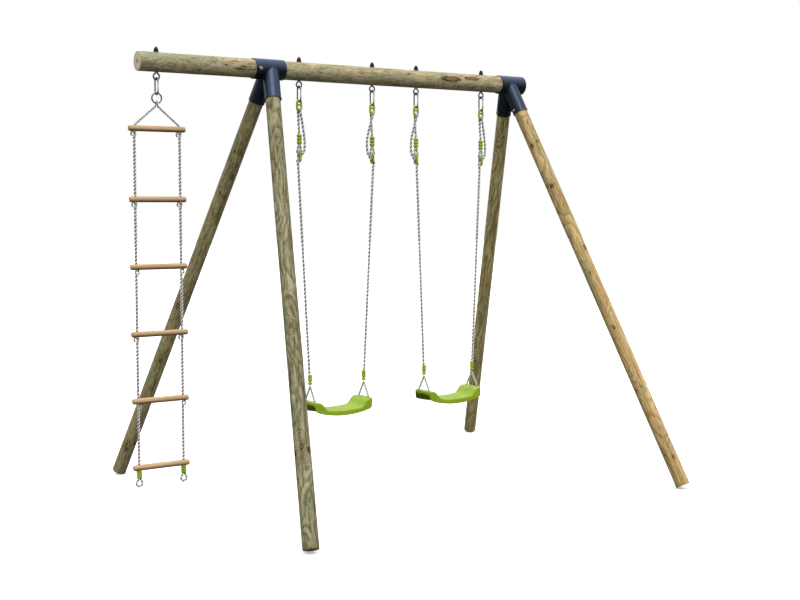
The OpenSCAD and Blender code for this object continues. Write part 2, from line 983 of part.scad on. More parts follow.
ladder_carabiner();
ladder_gate_pin();
ladder_gate();
ladder_ring();
ladder_top_rope();
ladder_rung(1);  // ladder_rung_1
ladder_rung(2);  // ladder_rung_2
ladder_rung(3);  // ladder_rung_3
ladder_rung(4);  // ladder_rung_4
ladder_rung(5);  // ladder_rung_5
ladder_rung(6);  // ladder_rung_6
ladder_ropes(2);  // ladder_ropes_2
ladder_ropes(3);  // ladder_ropes_3
ladder_ropes(4);  // ladder_ropes_4
ladder_ropes(5);  // ladder_ropes_5
ladder_last_ropes();  // ladder_ropes_6
ladder_end_ferrules();
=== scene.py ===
"""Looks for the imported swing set: logs, twisted ropes, moulded seats, fittings, light and camera.

Everything is in metres in the CAD frame: +X along the beam, +Y to the rear, +Z up.
Places come from the boxes of the CAD nodes, so this file holds shapes and finishes only.
"""

import json
import math

import bpy
import numpy as np
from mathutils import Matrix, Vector


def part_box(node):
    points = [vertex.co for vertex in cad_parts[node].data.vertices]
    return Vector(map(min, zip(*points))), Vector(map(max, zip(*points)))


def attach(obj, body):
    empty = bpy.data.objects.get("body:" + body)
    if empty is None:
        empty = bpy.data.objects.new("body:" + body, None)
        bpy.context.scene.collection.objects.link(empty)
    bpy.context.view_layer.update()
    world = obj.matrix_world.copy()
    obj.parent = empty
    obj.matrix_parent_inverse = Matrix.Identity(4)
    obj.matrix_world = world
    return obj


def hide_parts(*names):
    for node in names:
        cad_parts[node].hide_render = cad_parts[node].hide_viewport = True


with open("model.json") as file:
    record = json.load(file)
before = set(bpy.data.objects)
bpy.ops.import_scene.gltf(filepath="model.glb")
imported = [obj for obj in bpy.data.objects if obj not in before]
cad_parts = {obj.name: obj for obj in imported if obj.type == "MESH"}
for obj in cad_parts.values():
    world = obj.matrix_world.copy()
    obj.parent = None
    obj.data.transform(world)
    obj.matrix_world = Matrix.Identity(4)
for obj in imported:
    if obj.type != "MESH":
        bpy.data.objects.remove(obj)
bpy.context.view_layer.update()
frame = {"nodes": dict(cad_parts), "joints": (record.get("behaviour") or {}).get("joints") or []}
NODES = frame["nodes"]
MM = 0.001
SIDES = {"left": -1, "right": 1}
UP = (0, 0, 1)
SPAN_CUTS = 12  # of a smooth path, between two of its points

# ---- vectors


def vec(*values):
    return np.array(values, float)


def unit(v):
    return v / np.linalg.norm(v)


def node_box(node):
    """Lowest corner, highest corner and middle of a CAD node."""
    low, high = (np.array(corner, float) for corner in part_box(node))
    return low, high, (low + high) / 2


def in_metres(profile):
    """A lathe profile listed in millimetres."""
    return [(radius * MM, along * MM) for radius, along in profile]


def hermite(xs, ys, x):
    """Smooth curve through (xs, ys) that doesn't overshoot, at x."""
    xs, ys, x = np.array(xs, float), np.array(ys, float), np.array(x, float)
    run, rise = np.diff(xs), np.diff(ys)
    slope = rise / run
    tangent = np.zeros(len(xs))
    for i in range(1, len(xs) - 1):
        if slope[i - 1] * slope[i] > 0:
            tangent[i] = 2 / (1 / slope[i - 1] + 1 / slope[i])
    tangent[-1] = slope[-1]
    k = np.clip(np.searchsorted(xs, x, side="right") - 1, 0, len(run) - 1)
    t = (x - xs[k]) / run[k]
    return (
        (1 + 2 * t) * (1 - t) ** 2 * ys[k]
        + t * (1 - t) ** 2 * run[k] * tangent[k]
        + t * t * (3 - 2 * t) * ys[k + 1]
        + t * t * (t - 1) * run[k] * tangent[k + 1]
    )


def smooth_path(points, step):
    """Catmull-Rom curve through the points, cut into steps of equal length."""
    p = np.array(points, float)
    p = np.vstack([2 * p[0] - p[1], p, 2 * p[-1] - p[-2]])
    t = np.linspace(0, 1, SPAN_CUTS, endpoint=False)[:, None]
    spans = []
    for a, b, c, d in zip(p, p[1:], p[2:], p[3:]):
        square = 2 * a - 5 * b + 4 * c - d
        cube = 3 * b - a - 3 * c + d
        spans.append(0.5 * (2 * b + (c - a) * t + square * t**2 + cube * t**3))
    return even_path(np.vstack(spans + [p[-2:-1]]), step)


def distances(points):
    """Distance from the first point to each point, along the path through them."""
    steps = np.linalg.norm(np.diff(np.array(points, float), axis=0), axis=1)
    return np.concatenate([[0], np.cumsum(steps)])


def even_path(points, step):
    """The same path with points at equal distances along it."""
    p = np.array(points, float)
    run = distances(p)
    count = max(2, int(round(run[-1] / step)) + 1)
    at = np.linspace(0, run[-1], count)
    return np.stack([np.interp(at, run, p[:, k]) for k in range(3)], axis=1)


def round_angles(count):
    """Angles of points evenly round a circle."""
    return np.linspace(0, 2 * math.pi, count, endpoint=False)


def arc(centre, radius, across, up, start, end, count=9):
    """Points on a circle: angles in degrees, 0 along across, 90 along up."""
    angles = np.radians(np.linspace(start, end, count))
    across, up = np.array(across, float), np.array(up, float)
    return [np.array(centre) + radius * (math.cos(a) * across + math.sin(a) * up) for a in angles]


def carried_frames(points, loop=False):
    """Tangent, side and up vectors along a path, with the least twist."""
    p = np.array(points)
    if loop:
        tangents = np.roll(p, -1, axis=0) - np.roll(p, 1, axis=0)
    else:
        tangents = np.gradient(p, axis=0)
    tangents /= np.linalg.norm(tangents, axis=1)[:, None]
    side = np.cross(tangents[0], UP)
    if np.linalg.norm(side) < 0.1:
        side = np.cross(tangents[0], (0, 1, 0))
    sides = []
    for t in tangents:
        side = unit(side - (side @ t) * t)
        sides.append(side)
    sides = np.array(sides)
    return tangents, sides, np.cross(tangents, sides)


# ---- meshes

TIP_R = 1e-5  # radius of a lathe's closed tip
DOME = np.radians([80, 60, 38, 18])  # angles of the rings that round off a bar's end


class Shape:
    """Collects the rings of one piece: points, faces, UVs and named point values."""

    def __init__(self):
        self.points, self.faces, self.uvs, self.values = [], [], [], {}
        self.count = 0

    def skin(self, rings, runs=None, loop=False, **values):
        """Quads between rings of points, closed at the ends.

        runs is the distance along, for UVs. values hold something per point; skins without them have zero.
        """
        rings = np.array(rings, float)
        n, m = rings.shape[:2]
        if runs is None:
            runs = distances(rings.mean(axis=1))
        for name, data in values.items():
            block = np.array(data, float).reshape(n * m, -1)
            self.values.setdefault(name, []).append((self.count, block))
        base = self.count
        for i in range(n if loop else n - 1):
            j = (i + 1) % n
            v0 = runs[i]
            v1 = runs[j] if j else v0 + np.linalg.norm(rings[0, 0] - rings[i, 0])
            for k in range(m):
                o = (k + 1) % m
                corners = (i * m + k, i * m + o, j * m + o, j * m + k)
                self.faces.append(tuple(base + corner for corner in corners))
                u0, u1 = k / m, (k + 1) / m
                self.uvs += [(u0, v0), (u1, v0), (u1, v1), (u0, v1)]
        if not loop:
            for i, turn in ((0, -1), (n - 1, 1)):
                self.faces.append([base + i * m + k for k in range(m)][::turn])
                self.uvs += [(k / m, runs[i]) for k in range(m)][::turn]
        self.points.append(rings.reshape(-1, 3))
        self.count += n * m

    def tube(self, path, radius, sides=14, loop=False, round_ends=True):
        """A bar along a path; radius is one number or one per point."""
        path = np.array(path, float)
        if round_ends and not loop:
            path, radius = rounded_ends(path, radius)
        radius = np.broadcast_to(radius, len(path))
        _, side, up = carried_frames(path, loop)
        angles = round_angles(sides)
        rings = [
            p + r * (np.outer(np.cos(angles), s) + np.outer(np.sin(angles), u))
            for p, r, s, u in zip(path, radius, side, up)
        ]
        self.skin(rings, loop=loop)

    def lathe(self, profile, origin, axis, sides=40):
        """A turned body: profile rows are (radius, distance along the axis)."""
        axis = unit(np.array(axis, float))
        side = unit(np.cross(axis, (0, 1, 0.3)))
        up = np.cross(axis, side)
        angles = round_angles(sides)
        circle = np.outer(np.cos(angles), side) + np.outer(np.sin(angles), up)
        origin = np.array(origin)
        rings = [origin + along * axis + max(radius, TIP_R) * circle for radius, along in profile]
        self.skin(rings, runs=distances(profile))

    def piece(self, name, body, material, slot, replaces=(), crease=35):
        """Makes the object, puts it on its body and hides the CAD nodes it replaces."""
        mesh = new_mesh(name, np.vstack(self.points), self.faces)
        layer = mesh.uv_layers.new(name="along")
        layer.data.foreach_set("uv", np.array(self.uvs, np.float32).ravel())
        for key, blocks in self.values.items():
            width = blocks[0][1].shape[1]
            data = np.zeros((self.count, width), np.float32)
            for start, block in blocks:
                data[start:start + len(block)] = block
            kind, field = ("FLOAT_VECTOR", "vector") if width == 3 else ("FLOAT", "value")
            mesh.attributes.new(key, kind, "POINT").data.foreach_set(field, data.ravel())
        mesh.shade_smooth()
        mesh.set_sharp_from_angle(angle=math.radians(crease))
        mesh.materials.append(material)
        place(add(name, mesh), body, replaces)


def new_mesh(name, points, faces):
    mesh = bpy.data.meshes.new(name)
    mesh.from_pydata(np.array(points).tolist(), [], faces)
    return mesh


def add(name, data):
    """A new object of the scene."""
    obj = bpy.data.objects.new(name, data)
    bpy.context.scene.collection.objects.link(obj)
    return obj


def place(obj, body, replaces=()):
    """Checks an object's mesh, puts it on its body and hides the CAD nodes it stands for."""
    obj.data.validate()
    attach(obj, body)
    if replaces:
        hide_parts(*replaces)


def rounded_ends(path, radius):
    """Adds a domed end to each end of a bar's path."""
    radius = np.broadcast_to(radius, len(path)).astype(float)
    head, tail = unit(path[0] - path[1]), unit(path[-1] - path[-2])
    first = [path[0] + radius[0] * 0.6 * math.sin(a) * head for a in DOME]
    last = [path[-1] + radius[-1] * 0.6 * math.sin(a) * tail for a in DOME[::-1]]
    points = np.vstack([first, path, last])
    radii = np.concatenate([radius[0] * np.cos(DOME), radius, radius[-1] * np.cos(DOME[::-1])])
    return points, radii


# ---- materials


def srgb(red, green, blue):
    """A colour from display values 0 to 255."""
    values = [v / 255 for v in (red, green, blue)]
    return tuple(v / 12.92 if v <= 0.04045 else ((v + 0.055) / 1.055) ** 2.4 for v in values) + (1.0,)


class Graph:
    """A material's or world's node tree, built from numbers, colours and other nodes' outputs."""

    def __init__(self, name, kind="materials"):
        self.owner = getattr(bpy.data, kind).new(name)
        self.owner.use_nodes = True
        self.tree = self.owner.node_tree
        self.tree.nodes.clear()

    def feed(self, socket, value):
        """Links another node's output to a socket, or sets a plain value."""
        if isinstance(value, bpy.types.NodeSocket):
            self.tree.links.new(value, socket)
        else:
            socket.default_value = value

    def node(self, kind, *slots, out=0, settings=None, **named):
        """Adds a node and returns one output. slots fill its inputs in order, named ones by name."""
        n = self.tree.nodes.new("ShaderNode" + kind)
        for key, value in (settings or {}).items():
            setattr(n, key, value)
        pairs = list(zip(n.inputs, slots))
        pairs += [(n.inputs[key.replace("_", " ")], value) for key, value in named.items()]
        for socket, value in pairs:
            self.feed(socket, value)
        return n.outputs[out] if len(n.outputs) else None

    def math(self, op, a, b=0.5, c=0.0):
        return self.node("Math", a, b, c, settings={"operation": op})

    def times(self, a, b):
        return self.math("MULTIPLY", a, b)

    def vmath(self, op, a, b, out=0):
        return self.node("VectorMath", a, b, out=out, settings={"operation": op})

    def span(self, value, low, high, to_low=0.0, to_high=1.0):
        """Maps low..high to to_low..to_high smoothly, and holds the ends."""
        return self.node("MapRange", value, low, high, to_low, to_high,
                         settings={"interpolation_type": "SMOOTHSTEP"})

    def position(self):
        """Position in the CAD frame at rest."""
        return self.node("TexCoord", out=3)

    def part(self, vector, axis):
        """One of a vector's three numbers."""
        return self.node("SeparateXYZ", vector, out=axis)

    def hypot(self, x, y):
        return self.vmath("LENGTH", self.node("CombineXYZ", x, y, 0.0), (0, 0, 0), out=1)

    def facing_up(self):
        """Height of the surface's normal: 1 facing up, -1 facing down."""
        return self.part(self.node("NewGeometry", out=1), 2)

    def uv(self):
        """Share of a turn round the shape, and metres along it."""
        return self.node("UVMap", settings={"uv_map": "along"})

    def value(self, name, out=2):
        """A value stored on the mesh's points: output 2 is a number, 1 a vector."""
        return self.node("Attribute", out=out, settings={"attribute_name": name})

    def noise(self, vector, scale, detail=3.0, rough=0.55, distort=0.0):
        return self.node("TexNoise", Vector=vector, Scale=scale, Detail=detail,
                         Roughness=rough, Distortion=distort)

    def grain(self, vector, scales, detail=3.0, rough=0.55, distort=0.0, shift=(0, 0, 0)):
        """Noise with its own scale along each axis."""
        stretched = self.node("Mapping", vector, shift, (0, 0, 0), scales)
        return self.noise(stretched, 1.0, detail, rough, distort)

    def layers(self, colour, *rows):
        """Lays colours over one another; rows are (mask, low, high, strength, colour on top)."""
        for mask, low, high, strength, top in rows:
            colour = self.mix(self.span(mask, low, high, 0, strength), colour, top)
        return colour

    def mix(self, factor, a, b):
        """Colour a where the factor is 0, b where it is 1."""
        n = self.tree.nodes.new("ShaderNodeMix")
        n.data_type = "RGBA"
        for index, value in ((0, factor), (6, a), (7, b)):
            self.feed(n.inputs[index], value)
        return n.outputs[2]

    def bump(self, height, distance):
        return self.node("Bump", Strength=1.0, Distance=distance, Height=height)

    def surface(self, **inputs):
        """Ends the tree with a Principled shader and returns the material."""
        shader = self.node("BsdfPrincipled", **inputs)
        self.node("OutputMaterial", shader)
        return self.owner


PALE_FIBRE = srgb(206, 200, 168)
BARK = srgb(50, 38, 28)
KNOT_HALO = srgb(150, 112, 76)
KNOT_CORE = srgb(122, 86, 62)
RING_GAP = 4.6 * MM


def log_knots(g, at_log, radius, knots, rings):
    """Swirls the growth rings round each knot. Returns the rings and masks of core, rim and halo."""
    core, rim, halo = 0.0, 0.0, 0.0
    for at, angle, size, reach, squeeze in knots:
        size, reach, turn = size * MM, reach * MM, math.radians(angle)
        centre = (radius * math.cos(turn), radius * math.sin(turn), at * squeeze)
        squeezed = g.vmath("MULTIPLY", at_log, (1, 1, squeeze))
        wobble = g.node("TexNoise", Vector=at_log, Scale=55.0, out=1)
        wobble = g.vmath("MULTIPLY", g.vmath("SUBTRACT", wobble, (0.5, 0.5, 0.5)), (size, size, size))
        gap = g.vmath("DISTANCE", g.vmath("ADD", squeezed, wobble), centre, out=1)
        swirl = g.times(g.span(gap, 0, reach, 1, 0), reach * 0.45)
        rings = g.math("ADD", rings, swirl)
        core = g.math("MAXIMUM", core, g.span(gap, size * 0.7, size * 1.2, 1, 0))
        inside = g.span(gap, size * 0.75, size * 1.0, 0, 1)
        outside = g.span(gap, size * 1.05, size * 1.45, 1, 0)
        rim = g.math("MAXIMUM", rim, g.times(inside, outside))
        halo = g.math("MAXIMUM", halo, g.span(gap, size, reach * 0.7, 1, 0))
    return rings, core, rim, halo


def log_cracks(g, at_log, radius, streaks, seed):
    """Mask of the drying cracks along the log and of the torn streaks."""
    field = g.grain(at_log, (26, 26, 1.3), 1.0, shift=(seed * 2, 0, 4))
    line = g.span(g.math("ABSOLUTE", g.math("SUBTRACT", field, 0.5)), 0.0, 0.009, 1, 0)
    where = g.span(g.grain(at_log, (7, 7, 3), 1.0, shift=(4, seed, 0)), 0.52, 0.6)
    crack = g.times(line, where)
    for at, angle, length, width in streaks:
        length, width, turn = length * MM, width * MM, math.radians(angle)
        centre = (radius * math.cos(turn) / width, radius * math.sin(turn) / width, at / length)
        scaled = g.vmath("MULTIPLY", at_log, (1 / width, 1 / width, 1 / length))
        near = g.span(g.vmath("DISTANCE", scaled, centre, out=1), 0.5, 1.0, 1, 0)
        torn = g.grain(at_log, (95, 95, 9), 3.0, 0.7, shift=(seed, 0, 7))
        crack = g.math("MAXIMUM", crack, g.times(near, g.span(torn, 0.46, 0.56)))
    return crack


def end_grain(g, at_log, from_middle, late):
    """Colour of a sawn end: rings round a dark pith, weathered in patches."""
    weather = g.span(g.grain(at_log, (80, 80, 80)), 0.5, 0.75, 0, 0.4)
    face = g.mix(g.times(late, 0.4), srgb(240, 228, 190), srgb(196, 160, 104))
    face = g.mix(g.span(from_middle, 0.004, 0.016, 0.8, 0), face, srgb(160, 84, 40))
    return g.mix(weather, face, srgb(160, 140, 94))


def pine_log(name, radius, colours, figure, fleck_run, knots, streaks, seed):
    """Round pressure-treated pine: growth rings cut by the surface, knots, green stain and cracks, and
    painted shade towards the edges seen at a glancing angle.

    The "log" value holds each point's place in the log: two directions across it and the distance along.
    colours are pale, mid, dark and green. figure is the strength of the rings, and a higher fleck_run
    makes shorter flecks. knots rows are (metres along, angle in degrees, radius of the core and reach of
    the swirl in millimetres, squeeze along). streaks rows are (metres along, angle in degrees, half length
    and half width in millimetres) of torn, darkened grain.
    """
    pale, mid, dark, green = (srgb(*colour) for colour in colours)
    g = Graph(name)
    at_log = g.value("log", out=1)
    across = g.part(at_log, 0), g.part(at_log, 1)
    along = g.part(at_log, 2)
    wander = g.noise(g.node("CombineXYZ", 0.0, seed * 7.3, along), 1.5, 2.0)
    weave = g.noise(g.node("CombineXYZ", seed * 3.1, 5.0, along), 1.9, 2.0)
    from_pith = [
        g.math("SUBTRACT", place_across, g.math("MULTIPLY_ADD", drift, 0.09, -0.045))
        for place_across, drift in zip(across, (wander, weave))
    ]
    ripple = g.grain(at_log, (9, 9, 2.2), 3.0, shift=(seed, 0, 0))
    rings = g.math("MULTIPLY_ADD", ripple, 0.012, g.hypot(*from_pith))
    rings, core, rim, halo = log_knots(g, at_log, radius, knots, rings)
    tooth = g.math("FRACT", g.math("DIVIDE", rings, RING_GAP))
    late = g.times(g.span(tooth, 0.25, 0.86), g.span(tooth, 0.9, 1.0, 1, 0))
    fibre = g.grain(at_log, (420, 420, 9), 3.0, 0.65, shift=(seed, seed, 0))
    fleck = g.grain(at_log, (90, 90, fleck_run), 2.0, 0.6, 0.6, shift=(seed, 1, 0))
    blotch = g.grain(at_log, (20, 20, 6), 4.0, 0.65, shift=(0, seed, seed))
    patch = g.grain(at_log, (11, 11, 4), 4.0, 0.75, shift=(seed, 3, seed * 2))
    speck = g.grain(at_log, (110, 110, 34), 2.0, 0.6, shift=(0, 0, seed))
    dots = g.grain(at_log, (80, 80, 34), 2.0, 0.6, shift=(seed, 9, 0))
    crack = log_cracks(g, at_log, radius, streaks, seed)
    # mask of painted shade: 1 where the log's surface is seen edge-on
    painted_edge_shade = g.node("LayerWeight", Blend=0.4, out=1)
    colour = g.layers(mid, (blotch, 0.36, 0.66, 1, pale), (patch, 0.48, 0.6, 0.75, green))
    colour = g.mix(g.times(late, figure), colour, dark)
    colour = g.layers(
        colour,
        (fleck, 0.5, 0.62, 0.6, dark),
        (fibre, 0.46, 0.76, 0.5, dark),
        (speck, 0.5, 0.6, 0.65 - 0.7 * figure, PALE_FIBRE),
        (dots, 0.65, 0.73, 0.7, BARK),
    )
    colour = g.mix(g.times(halo, 0.3), colour, KNOT_HALO)
    colour = g.mix(g.times(core, 0.75), colour, KNOT_CORE)
    colour = g.mix(g.times(rim, 0.95), colour, BARK)
    colour = g.mix(g.times(crack, 0.9), colour, BARK)
    # painted shade: the log turns to its dark colour towards its outline
    colour = g.layers(colour, (painted_edge_shade, 0.55, 0.95, 0.6, dark))
    colour = g.mix(g.value("end"), colour, end_grain(g, at_log, g.hypot(*across), late))
    height = g.math("ADD", g.times(late, -0.25), g.times(fibre, 0.4))
    height = g.math("SUBTRACT", height, g.times(fleck, 0.5))
    height = g.math("SUBTRACT", height, g.times(g.math("ADD", crack, rim), 1.3))
    return g.surface(Base_Color=colour, Roughness=g.span(fibre, 0.3, 0.8, 0.62, 0.85),
                     Normal=g.bump(height, 1.3 * MM), Specular_IOR_Level=0.25)


def rung_material():
    """Pale turned beech, grain along X, with painted shade on faces that look down."""
    g = Graph("rung_wood")
    at = g.position()
    grain = g.grain(at, (5, 170, 170), 4.0, 0.6, 0.4)
    pore = g.grain(at, (60, 900, 900), 2.0, 0.7)
    tone = g.grain(at, (7, 9, 3.1), 2.0)
    colour = g.layers(
        srgb(214, 184, 138),
        (grain, 0.3, 0.7, 1, srgb(182, 146, 98)),
        (tone, 0.35, 0.7, 0.5, srgb(214, 164, 128)),
        (pore, 0.6, 0.75, 0.6, srgb(140, 98, 62)),
    )
    # painted shade: faces that look down turn dark brown
    colour = g.mix(g.span(g.facing_up(), -0.9, 0.1, 0.75, 0), colour, srgb(84, 54, 34))
    height = g.math("ADD", g.times(grain, 0.6), g.times(pore, -0.5))
    return g.surface(Base_Color=colour, Roughness=g.span(grain, 0.2, 0.8, 0.45, 0.6),
                     Normal=g.bump(height, 0.0004))


def powder_material():
    """Blue-black powder coat: fine orange peel, a few rubbed and dusty areas, and a painted sky reflection
    that turns faces which look up blue.
    """
    g = Graph("powder_coat")
    at = g.position()
    peel = g.noise(at, 420.0, 2.0, 0.6)
    dust = g.noise(at, 11.0, 4.0, 0.65)
    rub = g.grain(at, (60, 60, 60), 3.0, 0.7)
    colour = g.layers(
        srgb(12, 15, 21),
        (dust, 0.35, 0.7, 1, srgb(20, 27, 40)),
        (rub, 0.66, 0.78, 0.3, srgb(50, 60, 76)),
        # painted sky reflection: faces that look up turn blue
        (g.facing_up(), 0.08, 0.72, 0.9, srgb(22, 46, 92)),
    )
    roughness = g.span(dust, 0.3, 0.75, 0.3, 0.42)
    return g.surface(Base_Color=colour, Metallic=0.15, Roughness=roughness,
                     Specular_IOR_Level=0.75, Specular_Tint=srgb(190, 216, 252),
                     Coat_Weight=0.25, Coat_Roughness=0.26, Normal=g.bump(peel, 0.00025))


def zinc_material(name, tone, dark, metallic=1.0):
    """Bright zinc plate with spangle, pickling haze and dull spots."""
    g = Graph(name)
    at = g.position()
    spangle = g.node("TexVoronoi", Vector=at, Scale=260.0)
    haze = g.noise(at, 95.0, 4.0, 0.6)
    colour = g.layers(tone, (haze, 0.35, 0.7, 1, dark), (spangle, 0.25, 0.7, 0.3, srgb(206, 208, 212)))
    roughness = g.span(haze, 0.3, 0.7, 0.2, 0.42)
    return g.surface(Base_Color=colour, Metallic=metallic, Roughness=roughness,
                     Normal=g.bump(haze, 0.0003))


def cap_material():
    """Black moulded plastic with a faint bloom."""
    g = Graph("cap_black")
    at = g.position()
    bloom = g.noise(at, 130.0, 4.0, 0.6)
    pebble = g.noise(at, 1400.0, 1.0)
    colour = g.mix(g.span(bloom, 0.4, 0.75), srgb(9, 9, 10), srgb(22, 22, 24))
    return g.surface(Base_Color=colour, Roughness=g.span(bloom, 0.3, 0.7, 0.42, 0.6),
                     Specular_IOR_Level=0.3, Normal=g.bump(pebble, 0.0002))


def plastic_material(name, body, shade, glow, spark_scale):
    """Coloured moulded plastic: flow marks, fine spark-eroded texture, soft light inside."""
    body, shade, glow = (srgb(*colour) for colour in (body, shade, glow))
    g = Graph(name)
    at = g.position()
    flow = g.grain(at, (9, 22, 16), 3.0, 0.5, 0.8)
    spark = g.noise(at, spark_scale, 2.0, 0.7)
    scuff = g.grain(at, (60, 260, 140), 4.0, 0.7)
    colour = g.layers(body, (flow, 0.3, 0.7, 1, shade), (scuff, 0.62, 0.78, 0.25, glow))
    height = g.math("ADD", g.times(spark, 0.7), g.times(scuff, 0.3))
    return g.surface(Base_Color=colour, Roughness=g.span(spark, 0.3, 0.7, 0.3, 0.44),
                     Subsurface_Weight=0.12, Subsurface_Radius=(0.006, 0.008, 0.002),
                     Specular_IOR_Level=0.45, Normal=g.bump(height, 0.00035))


YARNS = 15
YARN_SLANT = 620.0  # radians of yarn pattern per metre of rope


def rope_material(name, light, shade, gap):
    """Laid rope: yarns across each strand, soiled patches, fuzz, and painted shade between the yarns and
    in the grooves between the strands. gap is the colour of that painted shade.
    """
    g = Graph(name)
    uv = g.uv()
    slant = g.times(g.part(uv, 1), YARN_SLANT)
    phase = g.math("MULTIPLY_ADD", g.part(uv, 0), YARNS * 2 * math.pi, slant)
    yarn = g.math("MULTIPLY_ADD", g.math("SINE", phase, 0), 0.5, 0.5)
    height_in_lay = g.value("lay")
    fuzz = g.noise(g.position(), 900.0, 3.0, 0.7)
    soil = g.noise(g.position(), 14.0, 3.0, 0.6)
    colour = g.mix(g.span(soil, 0.35, 0.7), light, shade)
    # painted shade between the yarns, in the gap colour
    colour = g.mix(g.span(yarn, 0.0, 0.45, 0.35, 0), colour, gap)
    colour = g.mix(g.span(fuzz, 0.55, 0.8, 0, 0.3), colour, shade)
    # painted shade in the grooves between the two strands, in the gap colour
    colour = g.mix(g.span(height_in_lay, 0.2, 0.7, 1, 0), colour, gap)
    height = g.math("MULTIPLY_ADD", yarn, 0.8, g.times(fuzz, 0.4))
    return g.surface(Base_Color=colour, Roughness=0.86, Sheen_Weight=0.25,
                     Normal=g.bump(height, 0.0005))


# ---- logs

beam_low, beam_high, beam_mid = node_box("beam")
BEAM_R = (beam_high[2] - beam_low[2]) / 2
BEAM_Z = beam_mid[2]
BEAM_Y = beam_mid[1]
LEG_R = 40 * MM
LEG_LENGTH = 2.5
SLEEVE_GAP = 4.5 * MM  # from a log's surface to the outside of its sleeve
LOG_SIDES = 64
LOG_EASE = 2.5 * MM  # length of the rounding at a log's sawn edge
LOG_INSETS = np.array([6, 2.6, 0.9, 0]) * MM
VIEWER = vec(-4.0, -6.1, 1.4)  # the side of a log that faces this point has angle 0


def leg_line(node, side, fore):
    """Top and foot of a leg's axis, from the box of the cylinder round it."""
    low, high, middle = node_box(node)
    width = 2 * LEG_R
    diagonal = math.hypot(LEG_LENGTH, width)
    corner = math.atan2(width, LEG_LENGTH)
    slants = [math.asin(min(1, extent / diagonal)) - corner for extent in high - low]
    run = unit(vec(side, fore, -1) * np.sin(slants))
    return middle - run * LEG_LENGTH / 2, middle + run * LEG_LENGTH / 2


def log_piece(name, node, top, foot, radius, material, sway):
    """A slightly uneven log from top to foot."""
    run = unit(foot - top)
    length = np.linalg.norm(foot - top)
    toward = VIEWER - (top + foot) / 2
    face = unit(toward - (toward @ run) * run)
    side = np.cross(run, face)
    stations = np.concatenate([
        [0, 0, 0.25 * LOG_EASE, LOG_EASE],
        np.linspace(12 * MM, length - 12 * MM, 190),
        [length - LOG_EASE, length - 0.25 * LOG_EASE, length, length],
    ])
    insets = np.zeros(len(stations))
    insets[:4] = LOG_INSETS
    insets[-4:] = LOG_INSETS[::-1]
    angles = round_angles(LOG_SIDES)
    rings, places = [], []
    for at, inset in zip(stations, insets):
        wave = 0.9 * np.sin(angles + at * 2.1 + sway) + 0.6 * np.sin(3 * angles + at * 5.0 + 2 * sway)
        wave += 0.4 * np.sin(at * 23 + sway * 3 + 2 * angles)
        r = radius - inset - (1.1 + 0.45 * wave) * 0.5 * MM
        x, y = r * np.cos(angles), r * np.sin(angles)
        rings.append(top + at * run + np.outer(x, face) + np.outer(y, side))
        places.append(np.stack([x, y, np.full(len(x), at)], axis=1))
    on_end = np.zeros((len(stations), LOG_SIDES))
    on_end[[0, 1, -2, -1]] = 1
    shape = Shape()
    shape.skin(rings, log=places, end=on_end)
    shape.piece(name, "frame", material, node_slot(node), [node])


def node_slot(node):
    """Material slot of a CAD node, from its own material's name."""
    return NODES[node].data.materials[0].name.split(".")[0]


LOGS = {
    # CAD node: colours, figure, fleck_run, knots and streaks, as pine_log takes them
    "beam": (
        [(206, 196, 158), (178, 160, 118), (120, 98, 62), (152, 164, 130)], 0.3, 14,
        [(0.32, 30, 4, 30, 0.5), (0.47, -12, 3.5, 30, 0.5), (1.62, -35, 4, 30, 0.5),
         (1.915, -19, 13.5, 40, 0.25), (2.065, -32, 9.5, 35, 0.22)],
        [(0.6, 10, 120, 17), (0.6, -10, 100, 12), (1.99, -17, 35, 5)],
    ),
    "leg_front_left": (
        [(180, 176, 138), (146, 138, 98), (74, 64, 38), (134, 146, 108)], 0.65, 5,
        [(0.364, -8, 3.5, 20, 0.6), (0.726, -43, 4, 30, 0.6), (0.907, 34, 4, 25, 0.6),
         (1.41, 11, 5, 35, 0.5), (2.02, 4, 8, 60, 0.6), (2.035, -48, 9, 60, 0.7),
         (2.045, 62, 8, 50, 0.7)],
        [(2.02, -5, 40, 12), (2.04, -56, 30, 14), (2.055, 60, 30, 12)],
    ),
    "leg_rear_left": (
        [(184, 174, 126), (152, 140, 94), (90, 76, 46), (146, 152, 108)], 0.5, 5,
        [(0.48, -30, 5, 40, 0.6), (0.549, -27, 7, 40, 0.6), (0.655, 19, 5, 40, 0.6),
         (0.669, -30, 7, 40, 0.6), (1.367, 24, 7, 50, 0.4), (1.723, -3, 8, 50, 0.7),
         (1.715, 70, 5, 40, 0.6), (2.325, 6, 6, 50, 0.6),
         (2.295, 16, 5, 50, 0.6), (2.283, -50, 6, 50, 0.6)],
        [(2.31, 8, 60, 22), (2.283, -50, 20, 10)],
    ),
    "leg_front_right": (
        [(236, 206, 145), (219, 183, 118), (144, 108, 58), (182, 184, 128)], 0.55, 5,
        [(0.345, 26, 8.5, 40, 0.75), (0.33, -36, 5, 30, 0.6), (0.617, 6, 9, 50, 0.75),
         (0.608, 42, 5, 30, 0.6), (1.028, -50, 8, 60, 0.6), (1.182, 2, 3.5, 30, 0.6),
         (1.529, 2, 6, 50, 0.6), (1.901, -13, 3.5, 30, 0.6), (1.912, 43, 4.5, 30, 0.6),
         (2.333, -22, 6, 40, 0.6), (2.308, 37, 4, 30, 0.6)],
        [(0.345, 26, 13, 11), (0.622, 12, 13, 10)],
    ),
    "leg_rear_right": (
        [(242, 224, 164), (208, 190, 124), (110, 86, 46), (188, 192, 126)], 0.6, 5,
        [(0.162, -50, 4, 40, 0.6), (0.21, 60, 4, 40, 0.6),
         (1.3, -10, 3, 50, 0.5), (1.9, 20, 4, 50, 0.5)],
        [(0.18, 0, 50, 16)],
    ),
}
leg_lines = {}
